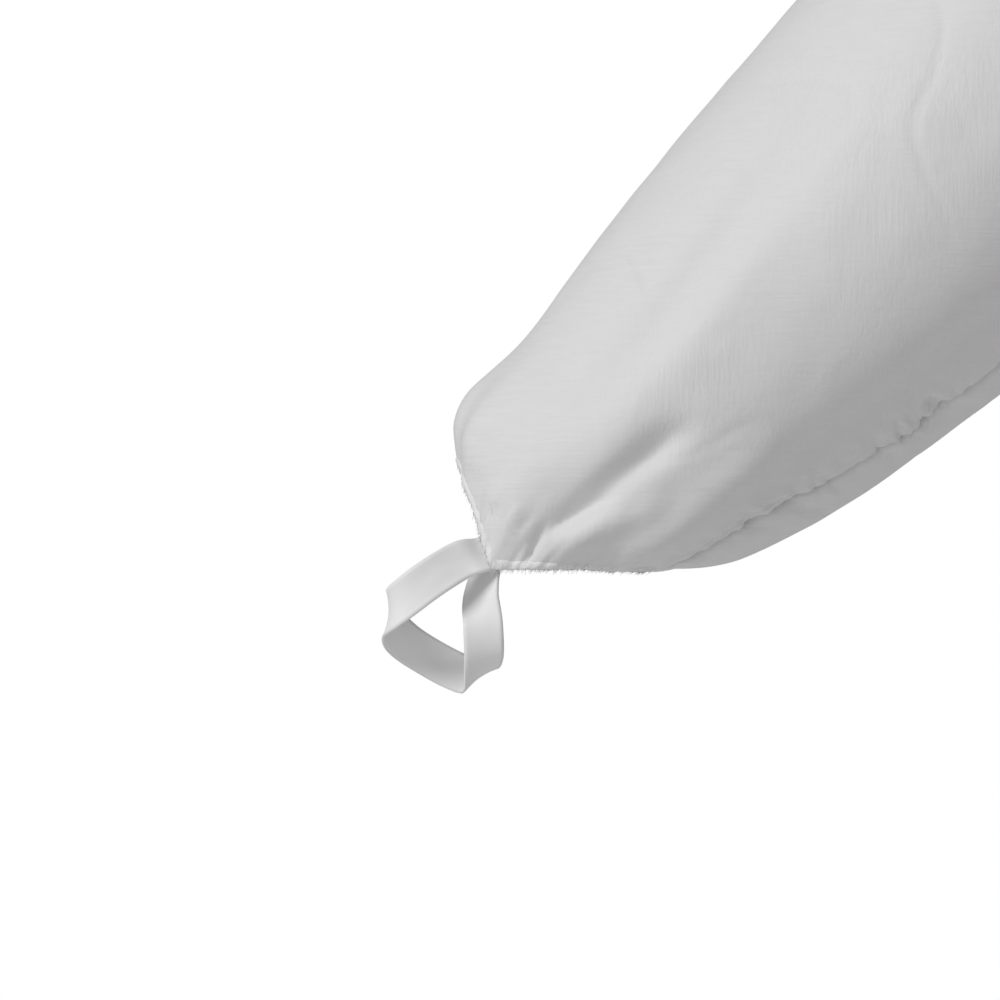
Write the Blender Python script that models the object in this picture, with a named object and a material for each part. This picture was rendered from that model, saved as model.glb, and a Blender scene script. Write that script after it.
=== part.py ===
"""Hooded coverall of thin white non-woven cloth, standing hollow as it is worn, with its arms held away.

The garment faces -Y with +Z up, and the wearer's right side is at -X. The origin lies between the
shoulders, where the garment hangs on its wearer. Every piece of cloth is a wall between an outer surface,
lofted through the sections of a short table, and the same surface moved in by the wall's thickness.
"""

from collections import namedtuple
from math import acos, ceil, cos, exp, floor, hypot, pi, radians, sin

import bmesh
import bpy
from mathutils import Matrix, Vector

# Driving sizes, in metres
WALL = 0.0016
TAPE_WALL = 0.0010
SEAM_GAP = 0.0003
ARMHOLE_GAP = 0.0005
STEP = 0.001  # of an angle or a place, where a surface's direction is measured

# Body: sections from the ankle (row 0) over the crotch (row 10) and waist (row 16) to the neck (row 28).
# A section is an oval about the lobe's centre line, cut off at the garment's middle plane.
BodySection = namedtuple("BodySection", "height lobe half_width front back")
BODY_SECTIONS = tuple(BodySection(*row) for row in (
    (-1.425, 0.150, 0.047, 0.049, 0.055),
    (-1.407, 0.150, 0.047, 0.049, 0.056),
    (-1.378, 0.149, 0.066, 0.066, 0.076),
    (-1.330, 0.148, 0.082, 0.082, 0.092),
    (-1.260, 0.146, 0.088, 0.087, 0.096),
    (-1.160, 0.143, 0.092, 0.092, 0.102),
    (-1.050, 0.139, 0.098, 0.101, 0.104),
    (-0.950, 0.134, 0.106, 0.108, 0.114),
    (-0.865, 0.128, 0.114, 0.116, 0.128),
    (-0.800, 0.122, 0.119, 0.124, 0.140),
    (-0.755, 0.119, 0.119, 0.130, 0.150),
    (-0.715, 0.106, 0.129, 0.136, 0.159),
    (-0.665, 0.078, 0.154, 0.141, 0.166),
    (-0.600, 0.040, 0.189, 0.143, 0.168),
    (-0.530, 0.012, 0.209, 0.138, 0.158),
    (-0.470, 0.000, 0.193, 0.127, 0.140),
    (-0.430, 0.000, 0.170, 0.116, 0.123),
    (-0.385, 0.000, 0.197, 0.131, 0.140),
    (-0.315, 0.000, 0.218, 0.147, 0.153),
    (-0.235, 0.000, 0.224, 0.149, 0.156),
    (-0.165, 0.000, 0.221, 0.141, 0.153),
    (-0.118, 0.000, 0.216, 0.131, 0.146),
    (-0.086, 0.000, 0.208, 0.121, 0.137),
    (-0.062, 0.000, 0.193, 0.111, 0.126),
    (-0.046, 0.000, 0.171, 0.103, 0.116),
    (-0.031, 0.000, 0.142, 0.095, 0.106),
    (-0.017, 0.000, 0.116, 0.090, 0.099),
    (-0.001, 0.000, 0.099, 0.087, 0.094),
    (0.018, 0.000, 0.093, 0.086, 0.092),
))
ANKLE_TOP, ZIP_FOOT, WAIST, NECK = 1, 13, 16, 28
ANKLE_GAP = 0.012  # places: the panels start this far above the ankle's edge
MOST_CUT_OFF = -0.9  # cosine of the angle at which a section cut off by the middle plane starts at most
BODY_COLUMNS = 12
WAIST_WAVES, WAIST_WAVE_DEPTH, WAIST_WAVE_REACH = 16, 0.0045, 0.035
ANKLE_WAVES, ANKLE_WAVE_DEPTH, ANKLE_WAVE_REACH = 8, 0.0022, 0.030

FLAT_BY_ZIP = 0.024  # the fronts carry no waves this close to the middle
# Folds of the body: from and to a turn in degrees (90 front, 180 side, 270 back) and a height.
BodyFold = namedtuple("BodyFold", "from_turn from_height to_turn to_height width depth")
BODY_FOLDS = tuple(BodyFold(*row) for row in (
    (92, -0.700, 150, -0.585, 0.022, -0.0050),
    (94, -0.650, 165, -0.520, 0.026, 0.0045),
    (60, -0.830, 150, -0.740, 0.022, -0.0045),
    (70, -1.060, 150, -1.020, 0.020, -0.0050),
    (60, -1.110, 140, -1.090, 0.022, 0.0045),
    (60, -1.300, 160, -1.265, 0.018, -0.0045),
    (170, -0.290, 125, -0.400, 0.022, -0.0050),
    (160, -0.250, 115, -0.330, 0.024, 0.0040),
    (190, -0.290, 240, -0.400, 0.024, -0.0055),
    (266, -0.690, 205, -0.580, 0.024, -0.0055),
    (262, -0.640, 200, -0.510, 0.026, 0.0045),
    (290, -0.840, 200, -0.760, 0.022, -0.0050),
    (290, -1.010, 200, -1.060, 0.020, -0.0060),
    (295, -1.080, 205, -1.120, 0.022, 0.0050),
    (300, -1.290, 200, -1.250, 0.018, -0.0045),
))

# Sleeve: sections from the cuff's rim (row 0) to inside the shoulder. A section is an oval about the arm's
# line; tilt moves its upper edge up the arm and its lower edge down, by that much.
SleeveSection = namedtuple("SleeveSection", "along upper lower tilt front back")
SLEEVE_SECTIONS = tuple(SleeveSection(*row) for row in (
    (0.0000, 0.0263, 0.0263, -0.0107, 0.0260, 0.0240),
    (0.0035, 0.0305, 0.0300, -0.0115, 0.0290, 0.0270),
    (0.0080, 0.0352, 0.0335, -0.0120, 0.0330, 0.0310),
    (0.0143, 0.0383, 0.0368, -0.0117, 0.0360, 0.0340),
    (0.0230, 0.0393, 0.0398, -0.0110, 0.0390, 0.0370),
    (0.0340, 0.0400, 0.0425, -0.0098, 0.0420, 0.0400),
    (0.0460, 0.0428, 0.0445, -0.0080, 0.0450, 0.0430),
    (0.0600, 0.0461, 0.0464, -0.0060, 0.0475, 0.0460),
    (0.0760, 0.0493, 0.0480, -0.0040, 0.0500, 0.0490),
    (0.0940, 0.0524, 0.0497, -0.0020, 0.0530, 0.0515),
    (0.1140, 0.0554, 0.0516, 0.0000, 0.0555, 0.0540),
    (0.1370, 0.0582, 0.0538, 0.0000, 0.0575, 0.0560),
    (0.1650, 0.0602, 0.0560, 0.0000, 0.0595, 0.0580),
    (0.2000, 0.0620, 0.0585, 0.0000, 0.0610, 0.0600),
    (0.2400, 0.0640, 0.0615, 0.0000, 0.0625, 0.0620),
    (0.2850, 0.0660, 0.0655, 0.0000, 0.0650, 0.0650),
    (0.3350, 0.0680, 0.0705, 0.0010, 0.0700, 0.0705),
    (0.3850, 0.0700, 0.0770, 0.0050, 0.0755, 0.0770),
    (0.4300, 0.0715, 0.0840, 0.0140, 0.0810, 0.0835),
    (0.4700, 0.0715, 0.0890, 0.0300, 0.0855, 0.0885),
    (0.5080, 0.0640, 0.0910, 0.0480, 0.0875, 0.0905),
    (0.5450, 0.0500, 0.0910, 0.0600, 0.0880, 0.0910),
    (0.5850, 0.0380, 0.0880, 0.0660, 0.0860, 0.0890),
))
SLEEVE_CAVITY_START = 15
CUFF_TOP, CUFF_GAP = 1.2, 0.085  # places: the cuff's edge ends at the one, and the sleeve starts past both
SLEEVE_FRONT_COLUMNS, SLEEVE_BACK_COLUMNS = 19, 12
CUFF_CENTRE = Vector((-0.592, -0.030, -0.500))  # right cuff
ARM_SLOPE = radians(41.75)  # of the arm's line, below level
ARM_LENGTH = 0.580  # over which the arm comes forward to the cuff
SEAM_AT_CUFF, SEAM_AT_SHOULDER = radians(145), radians(180)
SEAM_TURN_START, SEAM_TURN_END = 0.12, 0.45  # along the arm
CUFF_WAVES, CUFF_WAVE_DEPTH, CUFF_WAVE_REACH = 12, 0.0009, 0.014

# The thumb loop pulls the cuff's rim down the hand, to a corner on its front.
CORNER_TURN = SEAM_AT_CUFF * (1 - 10 / SLEEVE_FRONT_COLUMNS)
CORNER_PULL, CORNER_PULL_REACH = 0.019, 0.026
PULL_ALONG, PULL_ACROSS = -0.926, -0.377

# Folds on a sleeve's front, in metres up the arm and across it from its line towards the upper edge. Bow
# moves a fold's middle sideways.
SleeveFold = namedtuple("SleeveFold", "from_along from_across to_along to_across bow width depth")
SLEEVE_FOLDS = tuple(SleeveFold(*row) for row in (
    (0.150, 0.047, 0.012, 0.0140, -0.0035, 0.0060, -0.0026),
    (0.090, 0.023, -0.009, 0.0070, -0.0030, 0.0055, 0.0020),
    (0.036, -0.002, -0.014, -0.0005, 0.0020, 0.0045, -0.0034),
    (0.020, -0.013, -0.011, -0.0030, 0.0010, 0.0040, 0.0016),
    (0.140, -0.036, 0.016, -0.0240, -0.0020, 0.0060, -0.0024),
    (0.235, 0.020, 0.150, -0.0400, 0.0050, 0.0110, -0.0034),
    (0.275, 0.040, 0.235, -0.0350, -0.0040, 0.0130, -0.0050),
    (0.305, 0.030, 0.270, -0.0450, 0.0060, 0.0120, 0.0040),
    (0.430, -0.060, 0.350, 0.0300, 0.0060, 0.0140, -0.0050),
    (0.470, -0.050, 0.410, 0.0400, 0.0080, 0.0150, 0.0045),
))
BACK_FOLD_SHARE = 0.6  # of these folds' depth, on the sleeve's back

# Thumb loop: the tape's middle line, from the cuff's corner round the thumb and back, for the right hand.
# Places count from the corner; across is the direction of the tape's width.
LoopPoint = namedtuple("LoopPoint", "x y z across_x across_y across_z")
LOOP_POINTS = tuple(LoopPoint(*row) for row in (
    (0.0036, 0.0030, 0.0078, 0.72, -0.45, -0.53),
    (-0.0018, 0.0030, 0.0034, 0.58, -0.45, -0.68),
    (-0.0075, 0.0008, 0.0020, 0.57, -0.22, -0.79),
    (-0.0140, -0.0018, -0.0017, 0.54, -0.08, -0.84),
    (-0.0200, -0.0016, -0.0060, 0.38, 0.00, -0.92),
    (-0.0246, 0.0020, -0.0100, 0.10, 0.00, -0.99),
    (-0.0260, 0.0085, -0.0132, -0.17, 0.00, -0.98),
    (-0.0225, 0.0165, -0.0185, -0.45, 0.05, -0.88),
    (-0.0145, 0.0205, -0.0238, -0.62, 0.05, -0.78),
    (-0.0072, 0.0170, -0.0272, -0.74, 0.00, -0.67),
    (-0.0038, 0.0100, -0.0274, -0.80, 0.00, -0.60),
    (-0.0026, 0.0035, -0.0220, -0.94, 0.00, -0.30),
    (-0.0022, 0.0010, -0.0145, -1.00, 0.00, -0.05),
    (-0.0014, 0.0018, -0.0075, -0.96, 0.00, 0.10),
    (0.0002, 0.0042, -0.0008, -0.93, 0.00, 0.30),
    (0.0042, 0.0066, 0.0048, -0.80, 0.10, 0.58),
))
LOOP_WIDTH = 0.0098
LOOP_SPANS = 30  # of the tape's length

# Hood: sections from the neck to the crown's ridge.
HoodSection = namedtuple("HoodSection", "height half_width front back")
HOOD_SECTIONS = tuple(HoodSection(*row) for row in (
    (0.0183, 0.0930, 0.086, 0.092),
    (0.0450, 0.0940, 0.088, 0.096),
    (0.0750, 0.0990, 0.093, 0.105),
    (0.1050, 0.1070, 0.100, 0.116),
    (0.1400, 0.1160, 0.105, 0.127),
    (0.1800, 0.1210, 0.105, 0.135),
    (0.2200, 0.1190, 0.097, 0.137),
    (0.2550, 0.1090, 0.083, 0.129),
    (0.2850, 0.0910, 0.064, 0.112),
    (0.3060, 0.0660, 0.044, 0.086),
    (0.3180, 0.0360, 0.022, 0.054),
    (0.3225, 0.0003, 0.008, 0.032),
))
HOOD_ROWS = (0, 1, 2, 2.25, 2.6, 3, 3.6, 4.3, 5, 5.7, 6.3, 6.8, 7.15, 7.45, 8, 8.7, 9.4, 10, 10.5, 11)
HOOD_COLUMNS = 12
FACE_CENTRE, FACE_HALF_HEIGHT, FACE_HALF_WIDTH = 0.178, 0.098, 0.078
FACE_EDGE_WIDTH = 0.006
FACE_WAVES, FACE_WAVE_DEPTH, FACE_WAVE_REACH = 20, 0.0018, 0.025
FACE_WAVE_SIDE_FADE = 0.04  # the waves fade over this depth in front of the hood's side seamline
FACE_MIDDLE = 0.5  # of the opening's size, within which no wave is worked out

# Front zip
SLOT_HALF_WIDTH = 0.005
ZIP_TAPE_INNER, ZIP_TAPE_OUTER, ZIP_TAPE_GAP = 0.0004, 0.0125, 0.0008
CHAIN_HALF_WIDTH, CHAIN_PROUD = 0.0026, 0.0002
ZIP_TOP_ROW = 2  # of HOOD_ROWS
SLIDER_HEIGHT = 0.047
SLIDER_HALF_WIDTH, SLIDER_HALF_LENGTH, SLIDER_PLATE, SLIDER_FLANGE = 0.0042, 0.0056, 0.0016, 0.0010
SLIDER_FLANGE_DROP, SLIDER_LIFT = 0.0012, 0.0003
BAIL_HALF_WIDTH, BAIL_HALF_LENGTH, BAIL_HEIGHT = 0.0010, 0.0040, 0.0038
BAIL_HOLE_HALF_LENGTH, BAIL_HOLE_HEIGHT = 0.0027, 0.0029
PULL_BAR_RADIUS, PULL_BAR_DROP, PULL_BAR_LIFT = 0.0006, 0.0016, 0.0012
PULL_THICKNESS, PULL_ARM_INNER, PULL_ARM_OUTER = 0.0012, 0.0014, 0.0027
PULL_ARM_LENGTH, PULL_LENGTH, PULL_HALF_WIDTH = 0.0065, 0.027, 0.0037

COLLECTION = "hooded_coverall"


def section_at(sections, place):
    """Section at a fractional place in a table, on a smooth curve through its rows."""
    last = len(sections) - 1
    start = min(max(floor(place), 0), last - 1)
    t = place - start
    rows = [sections[min(max(start + step, 0), last)] for step in (-1, 0, 1, 2)]
    weights = (
        (-t + 2 * t**2 - t**3) / 2,
        (2 - 5 * t**2 + 3 * t**3) / 2,
        (t + 4 * t**2 - 3 * t**3) / 2,
        (-t**2 + t**3) / 2,
    )
    return type(rows[0])(*(sum(w * v for w, v in zip(weights, column)) for column in zip(*rows)))


def clamp(value, low, high):
    return min(max(value, low), high)


def ease(value):
    """0 below 0, 1 above 1, and a smooth rise between."""
    t = clamp(value, 0.0, 1.0)
    return t * t * (3 - 2 * t)


def fold_height(along, across, fold_start, fold_end, bow, width):
    """Share of a fold's depth at a point: 1 on its line, fading to its sides and its two ends."""
    line = (fold_end[0] - fold_start[0], fold_end[1] - fold_start[1])
    length = hypot(*line)
    offset = (along - fold_start[0], across - fold_start[1])
    t = (offset[0] * line[0] + offset[1] * line[1]) / length**2
    if t <= 0 or t >= 1:
        return 0.0
    aside = (offset[0] * line[1] - offset[1] * line[0]) / length - bow * 4 * t * (1 - t)
    return exp(-(aside / width) ** 2) * ease(t / 0.3) * ease((1 - t) / 0.3)


# ---- Surfaces. Each gives the outer point at an angle round a section and a place along its table.


def oval_point(lobe, half_width, front, back, angle, height, relief):
    """Point of an oval that turns from the inside (0) over the front (90) and side (180) to the back (270)."""
    depth = front if sin(angle) > 0 else back
    out = Vector((-cos(angle) / half_width, -sin(angle) / depth, 0)).normalized()
    return Vector((lobe - half_width * cos(angle), -depth * sin(angle), height)) + out * relief


def body_surface(angle, place):
    """The left half of the body; the right half is its mirror."""
    section = section_at(BODY_SECTIONS, place)
    height = section.height
    relief = WAIST_WAVE_DEPTH * cos(WAIST_WAVES * angle) * exp(
        -((height - BODY_SECTIONS[WAIST].height) / WAIST_WAVE_REACH) ** 2)
    relief += ANKLE_WAVE_DEPTH * cos(ANKLE_WAVES * angle) * exp(
        -((height - BODY_SECTIONS[ANKLE_TOP].height) / ANKLE_WAVE_REACH) ** 2)
    reach = (section.half_width + section.front) / 2
    for fold in BODY_FOLDS:
        start = (radians(fold.from_turn) * reach, fold.from_height)
        end = (radians(fold.to_turn) * reach, fold.to_height)
        relief += fold.depth * fold_height(angle * reach, height, start, end, 0.0, fold.width)
    if sin(angle) > 0:
        relief *= ease((section.lobe - section.half_width * cos(angle) - FLAT_BY_ZIP) / FLAT_BY_ZIP)
    return oval_point(section.lobe, section.half_width, section.front, section.back, angle, height, relief)


def hood_surface(angle, place):
    """The left half of the hood."""
    section = section_at(HOOD_SECTIONS, place)
    half_width = max(section.half_width, 0.0001)
    point = oval_point(0, half_width, section.front, section.back, angle, section.height, 0)
    turn = Vector(((point.x) / FACE_HALF_WIDTH, (point.z - FACE_CENTRE) / FACE_HALF_HEIGHT))
    if turn.length > FACE_MIDDLE and point.y < 0:
        beyond = (turn.length - 1) * FACE_HALF_HEIGHT / FACE_WAVE_REACH
        wave = cos(FACE_WAVES * turn.angle_signed(Vector((0, 1))))
        point.y -= FACE_WAVE_DEPTH * wave * exp(-beyond**2) * ease(-point.y / FACE_WAVE_SIDE_FADE)
    return point


def corner_pull(angle):
    """How far the thumb loop draws the rim down, at an angle round the cuff."""
    if sin(angle) <= 0:
        return 0.0
    place, corner = cos(angle), cos(CORNER_TURN)
    if place > corner:
        return CORNER_PULL * (1 - place) / (1 - corner)
    return CORNER_PULL * (1 + place) / (1 + corner)


def arm_point(along, across, forward):
    """A point of the right arm from its places up the arm's line, across it and towards the front."""
    up_arm = Vector((cos(ARM_SLOPE), 0, sin(ARM_SLOPE)))
    upward = Vector((-sin(ARM_SLOPE), 0, cos(ARM_SLOPE)))
    lean = CUFF_CENTRE.y * (1 - along / ARM_LENGTH)
    start = Vector((CUFF_CENTRE.x, lean, CUFF_CENTRE.z))
    return start + up_arm * along + upward * across + Vector((0, -forward, 0))


def sleeve_surface(angle, place):
    """The right sleeve, from its upper edge (0) over the front (90) to its underside (180) and back."""
    section = section_at(SLEEVE_SECTIONS, place)
    reach = section.upper if cos(angle) > 0 else section.lower
    depth = section.front if sin(angle) > 0 else section.back
    pull = corner_pull(angle) * exp(-max(section.along, 0) / CORNER_PULL_REACH)
    along = section.along + section.tilt * cos(angle) + PULL_ALONG * pull
    across = reach * cos(angle) + PULL_ACROSS * pull
    relief = CUFF_WAVE_DEPTH * cos(CUFF_WAVES * angle) * exp(
        -((section.along - SLEEVE_SECTIONS[2].along) / CUFF_WAVE_REACH) ** 2)
    share = ease(sin(angle) * 3) + BACK_FOLD_SHARE * ease(-sin(angle) * 3)
    for fold in SLEEVE_FOLDS:
        start = (fold.from_along, fold.from_across)
        end = (fold.to_along, fold.to_across)
        relief += share * fold.depth * fold_height(along, across, start, end, fold.bow, fold.width)
    out = Vector((cos(angle) / reach, sin(angle) / depth)).normalized() * relief
    return arm_point(along, across + out.x, depth * sin(angle) + out.y)


def wall_point(surface, angle, place, depth):
    """Point at a depth under a surface, straight in from its point at an angle and place."""
    point = surface(angle, place)
    if depth == 0:
        return point
    across = surface(angle + STEP, place) - surface(angle - STEP, place)
    along = surface(angle, place + STEP) - surface(angle, place - STEP)
    return point - across.cross(along).normalized() * depth


# ---- Pieces


def material(name, colour, roughness, metallic=0.0):
    made = bpy.data.materials.new(name)
    made.use_nodes = True
    shader = made.node_tree.nodes["Principled BSDF"]
    shader.inputs["Base Color"].default_value = (*colour, 1)
    shader.inputs["Roughness"].default_value = roughness
    shader.inputs["Metallic"].default_value = metallic
    return made


def new_object(name, mesh, finish, collection, smooth=True):
    """An object from a bmesh, in a collection, with its material."""
    bmesh.ops.recalc_face_normals(mesh, faces=mesh.faces)
    data = bpy.data.meshes.new(name)
    mesh.to_mesh(data)
    mesh.free()
    if smooth:
        data.shade_smooth()
        data.set_sharp_from_angle(angle=radians(50))
    data.materials.append(finish)
    made = bpy.data.objects.new(name, data)
    collection.objects.link(made)
    return made


def cloth_wall(columns, rows, point, wall=WALL, closed=False):
    """A bmesh of a closed wall. Point gives the place of a column, a row and a depth; a closed wall is a
    ring, whose last column is its first."""
    mesh = bmesh.new()
    bmesh.ops.create_grid(mesh, x_segments=columns, y_segments=rows, size=0.5)
    column_of = mesh.verts.layers.int.new("column")
    row_of = mesh.verts.layers.int.new("row")
    for vert in mesh.verts:
        vert[column_of] = round((vert.co.x + 0.5) * columns)
        vert[row_of] = round((vert.co.y + 0.5) * rows)
    for vert in mesh.verts:
        vert.co = point(vert[column_of], vert[row_of], 0)
    if closed:
        seam = [vert for vert in mesh.verts if vert[column_of] in (0, columns)]
        bmesh.ops.remove_doubles(mesh, verts=seam, dist=0.00001)
    inner = bmesh.ops.extrude_face_region(mesh, geom=mesh.faces[:], use_keep_orig=True)["geom"]
    for vert in inner:
        if isinstance(vert, bmesh.types.BMVert):
            vert.co = point(vert[column_of], vert[row_of], wall)
    return mesh


def middle_edge(place):
    """Distance from the middle plane to a front's edge: half the zip's slot, closing below the zip."""
    return SLOT_HALF_WIDTH if place >= ZIP_FOOT else SEAM_GAP / 2


def start_angle(lobe, half_width, edge):
    """Angle at which an oval starts, at a distance from the middle plane."""
    return acos(clamp((lobe - edge) / half_width, MOST_CUT_OFF, 1))


def body_panel_point(front, side):
    """The place of a column, row and depth of one front or back. Row 0 lies above the ankle's edge."""
    def point(column, row, depth):
        place = row + ANKLE_TOP if row else ANKLE_TOP + ANKLE_GAP
        section = section_at(BODY_SECTIONS, place)
        edge = middle_edge(place) if front else SEAM_GAP / 2
        start = start_angle(section.lobe, section.half_width, edge)
        angle = start + (pi - start) * column / BODY_COLUMNS
        made = wall_point(body_surface, angle if front else 2 * pi - angle, place, depth)
        made.x = max(made.x, edge)
        made.y = min(made.y, -SEAM_GAP / 2) if front else max(made.y, SEAM_GAP / 2)
        return Vector((made.x * side, made.y, made.z))
    return point


def body_panel(front, side):
    return cloth_wall(BODY_COLUMNS, NECK - ANKLE_TOP, body_panel_point(front, side))


def ankle_edge(side):
    """The overlocked elastic edge of a leg: a ring below the four seams' ends."""
    columns = 2 * BODY_COLUMNS

    def point(column, row, depth):
        made = wall_point(body_surface, 2 * pi * column / columns, row * ANKLE_TOP, depth)
        return Vector((made.x * side, made.y, made.z))
    return cloth_wall(columns, 1, point, closed=True)


def seam_turn(place):
    """Angle of the sleeve's seam, which runs from the underside at the armhole forward to the cuff."""
    along = section_at(SLEEVE_SECTIONS, place).along
    t = ease((along - SEAM_TURN_START) / (SEAM_TURN_END - SEAM_TURN_START))
    return SEAM_AT_CUFF + (SEAM_AT_SHOULDER - SEAM_AT_CUFF) * t


def sleeve_angle(column, place, half_gap):
    """Angle of a sleeve's column: closer columns over the front than over the back."""
    seam = seam_turn(place)
    if column <= SLEEVE_FRONT_COLUMNS:
        return (seam - half_gap) * (1 - column / SLEEVE_FRONT_COLUMNS)
    return -(2 * pi - seam - half_gap) * (column - SLEEVE_FRONT_COLUMNS) / SLEEVE_BACK_COLUMNS


def sleeve_row_places():
    """The sleeve's rows: one at each section, from just above the cuff's edge."""
    return [CUFF_TOP + CUFF_GAP, *range(ceil(CUFF_TOP), len(SLEEVE_SECTIONS))]


def mirrored(point, side):
    """A point of the right arm (side -1), or its mirror on the left (side 1)."""
    return Vector((-side * point.x, point.y, point.z))


def sleeve_panel(side):
    """One sleeve, open along its seam by the seam's gap."""
    places = sleeve_row_places()

    def point(column, row, depth):
        place = places[row]
        half_gap = SEAM_GAP / 2 / section_at(SLEEVE_SECTIONS, place).lower
        angle = sleeve_angle(column, place, half_gap)
        return mirrored(wall_point(sleeve_surface, angle, place, depth), side)
    return cloth_wall(SLEEVE_FRONT_COLUMNS + SLEEVE_BACK_COLUMNS, len(places) - 1, point)


def cuff_edge(side):
    """The overlocked elastic edge of a sleeve, drawn to its corner by the thumb loop."""
    def point(column, row, depth):
        place = row * CUFF_TOP / 2
        angle = sleeve_angle(column, place, 0)
        return mirrored(wall_point(sleeve_surface, angle, place, depth), side)
    return cloth_wall(SLEEVE_FRONT_COLUMNS + SLEEVE_BACK_COLUMNS, 2, point, closed=True)


def closed_loft(columns, rows, point):
    """A bmesh of a solid through rings, with flat ends."""
    mesh = bmesh.new()
    bmesh.ops.create_grid(mesh, x_segments=columns, y_segments=rows, size=0.5)
    for vert in mesh.verts:
        vert.co = point(round((vert.co.x + 0.5) * columns), round((vert.co.y + 0.5) * rows))
    bmesh.ops.remove_doubles(mesh, verts=mesh.verts, dist=0.00001)
    bmesh.ops.holes_fill(mesh, edges=mesh.edges, sides=0)
    return mesh


def sleeve_cavity(side):
    """What a sleeve's inside takes out of the body at its armhole."""
    columns = SLEEVE_FRONT_COLUMNS + SLEEVE_BACK_COLUMNS
    rows = len(SLEEVE_SECTIONS) - 1 - SLEEVE_CAVITY_START

    def point(column, row):
        angle = 2 * pi * column / columns
        return mirrored(wall_point(sleeve_surface, angle, row + SLEEVE_CAVITY_START, WALL), side)
    return closed_loft(columns, rows, point)


def body_block():
    """The body's outside from the waist to the neck, a seam's gap larger, which ends the sleeves."""
    quarter = BODY_COLUMNS
    columns = 4 * quarter

    def point(column, row):
        place = WAIST + row
        angle = pi / 2 + 2 * pi * column / columns
        left = angle <= 3 * pi / 2 + 0.001
        turned = angle if left else 3 * pi - angle
        made = wall_point(body_surface, turned, place, -ARMHOLE_GAP)
        return made if left else Vector((-made.x, made.y, made.z))
    return closed_loft(columns, NECK - WAIST, point)


def hood_panel_point(side):
    """The place of a column, row and depth of one half of the hood."""
    def point(column, row, depth):
        place = HOOD_ROWS[row]
        section = section_at(HOOD_SECTIONS, place)
        edge = face_edge_x(section.height)
        start = start_angle(0, section.half_width, min(edge, section.half_width * 0.9))
        end = 2 * pi - start_angle(0, section.half_width, SEAM_GAP / 2)
        angle = start + (end - start) * column / HOOD_COLUMNS
        made = wall_point(hood_surface, angle, place, depth)
        made.x = max(made.x, min(edge, SLOT_HALF_WIDTH) if column == 0 else SEAM_GAP / 2)
        return Vector((made.x * side, made.y, made.z))
    return point


def face_edge_x(height):
    """Distance from the middle plane to the hood's front edge: the zip's slot, the face, then the seam."""
    rise = (height - FACE_CENTRE) / FACE_HALF_HEIGHT
    if rise <= -1:
        return SLOT_HALF_WIDTH
    if rise >= 1:
        return SEAM_GAP / 2
    least = SLOT_HALF_WIDTH if rise < 0 else SEAM_GAP / 2
    return max(FACE_HALF_WIDTH * (1 - rise**2) ** 0.5, least)


def face_edge(side):
    """The overlocked elastic edge of the hood's face opening, inward from the hood's own edge points."""
    hood = hood_panel_point(side)
    rows = [row for row, place in enumerate(HOOD_ROWS)
            if face_edge_x(section_at(HOOD_SECTIONS, place).height) > SLOT_HALF_WIDTH + 0.002]

    def point(column, row, depth):
        rim = hood(0, rows[row], depth)
        outer = hood(0, rows[row], 0)
        inward = Vector((-outer.x / FACE_HALF_WIDTH**2, 0, -(outer.z - FACE_CENTRE) / FACE_HALF_HEIGHT**2))
        distance = SEAM_GAP + FACE_EDGE_WIDTH * column
        made = rim + inward.normalized() * distance
        made.x = side * max(made.x * side, SEAM_GAP)
        return made
    return cloth_wall(1, len(rows) - 1, point)


def front_strip(side, inner_x, outer_x, lift, wall):
    """A strip of the zip. It lies under a front and the hood on the flat that their first columns span, so
    it takes its points from theirs. Lift is the height of its outer face over the cloth's inner face, and a
    negative x lies past the middle."""
    body = body_panel_point(True, side)
    hood = hood_panel_point(side)
    rows = [(body, row - ANKLE_TOP) for row in range(ZIP_FOOT, NECK + 1)]
    rows += [(hood, row) for row in range(1, ZIP_TOP_ROW + 1)]

    def point(column, row, depth):
        piece, piece_row = rows[row]
        near, far = piece(0, piece_row, WALL), piece(1, piece_row, WALL)
        outward = (piece(0, piece_row, 0) - near).normalized()
        x = (inner_x, outer_x)[column]
        share = (abs(x) - abs(near.x)) / (abs(far.x) - abs(near.x))
        made = near + (far - near) * share + outward * (lift - depth)
        return Vector((-made.x, made.y, made.z)) if x < 0 else made
    return cloth_wall(1, len(rows) - 1, point, wall=wall)


def zip_chain():
    """The closed chain, between the fronts' edges and just over the tapes."""
    proud = WALL + CHAIN_PROUD
    return front_strip(1, -CHAIN_HALF_WIDTH, CHAIN_HALF_WIDTH, proud, proud)


def chain_frame():
    """The slider's frame on the chain: X across, Y up the chain, Z out of the front, origin on its face."""
    piece = hood_panel_point(1)

    def on_chain(row):
        near, far = piece(0, row, 0), piece(1, row, 0)
        return near + (far - near) * (-near.x / (far.x - near.x))
    low, high = on_chain(0), on_chain(ZIP_TOP_ROW)
    middle = on_chain(1)
    up = (high - low).normalized()
    out = Vector((1, 0, 0)).cross(up)
    t = (SLIDER_HEIGHT - middle.z) / up.z
    origin = middle + up * t + out * CHAIN_PROUD
    return Matrix.Translation(origin) @ Matrix((Vector((1, 0, 0)), up, out)).transposed().to_4x4()


def prism(outline, axis, low, high):
    """A bmesh of a flat outline pulled along an axis; the outline's two values are the other axes' places."""
    mesh = bmesh.new()
    verts = []
    for first, second in outline:
        place = [first, second]
        place.insert(axis, low)
        verts.append(mesh.verts.new(place))
    face = mesh.faces.new(verts)
    grown = bmesh.ops.extrude_face_region(mesh, geom=[face], use_keep_orig=True)["geom"]
    shift = Vector((0, 0, 0))
    shift[axis] = high - low
    bmesh.ops.translate(mesh, vec=shift, verts=[v for v in grown if isinstance(v, bmesh.types.BMVert)])
    return mesh


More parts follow.
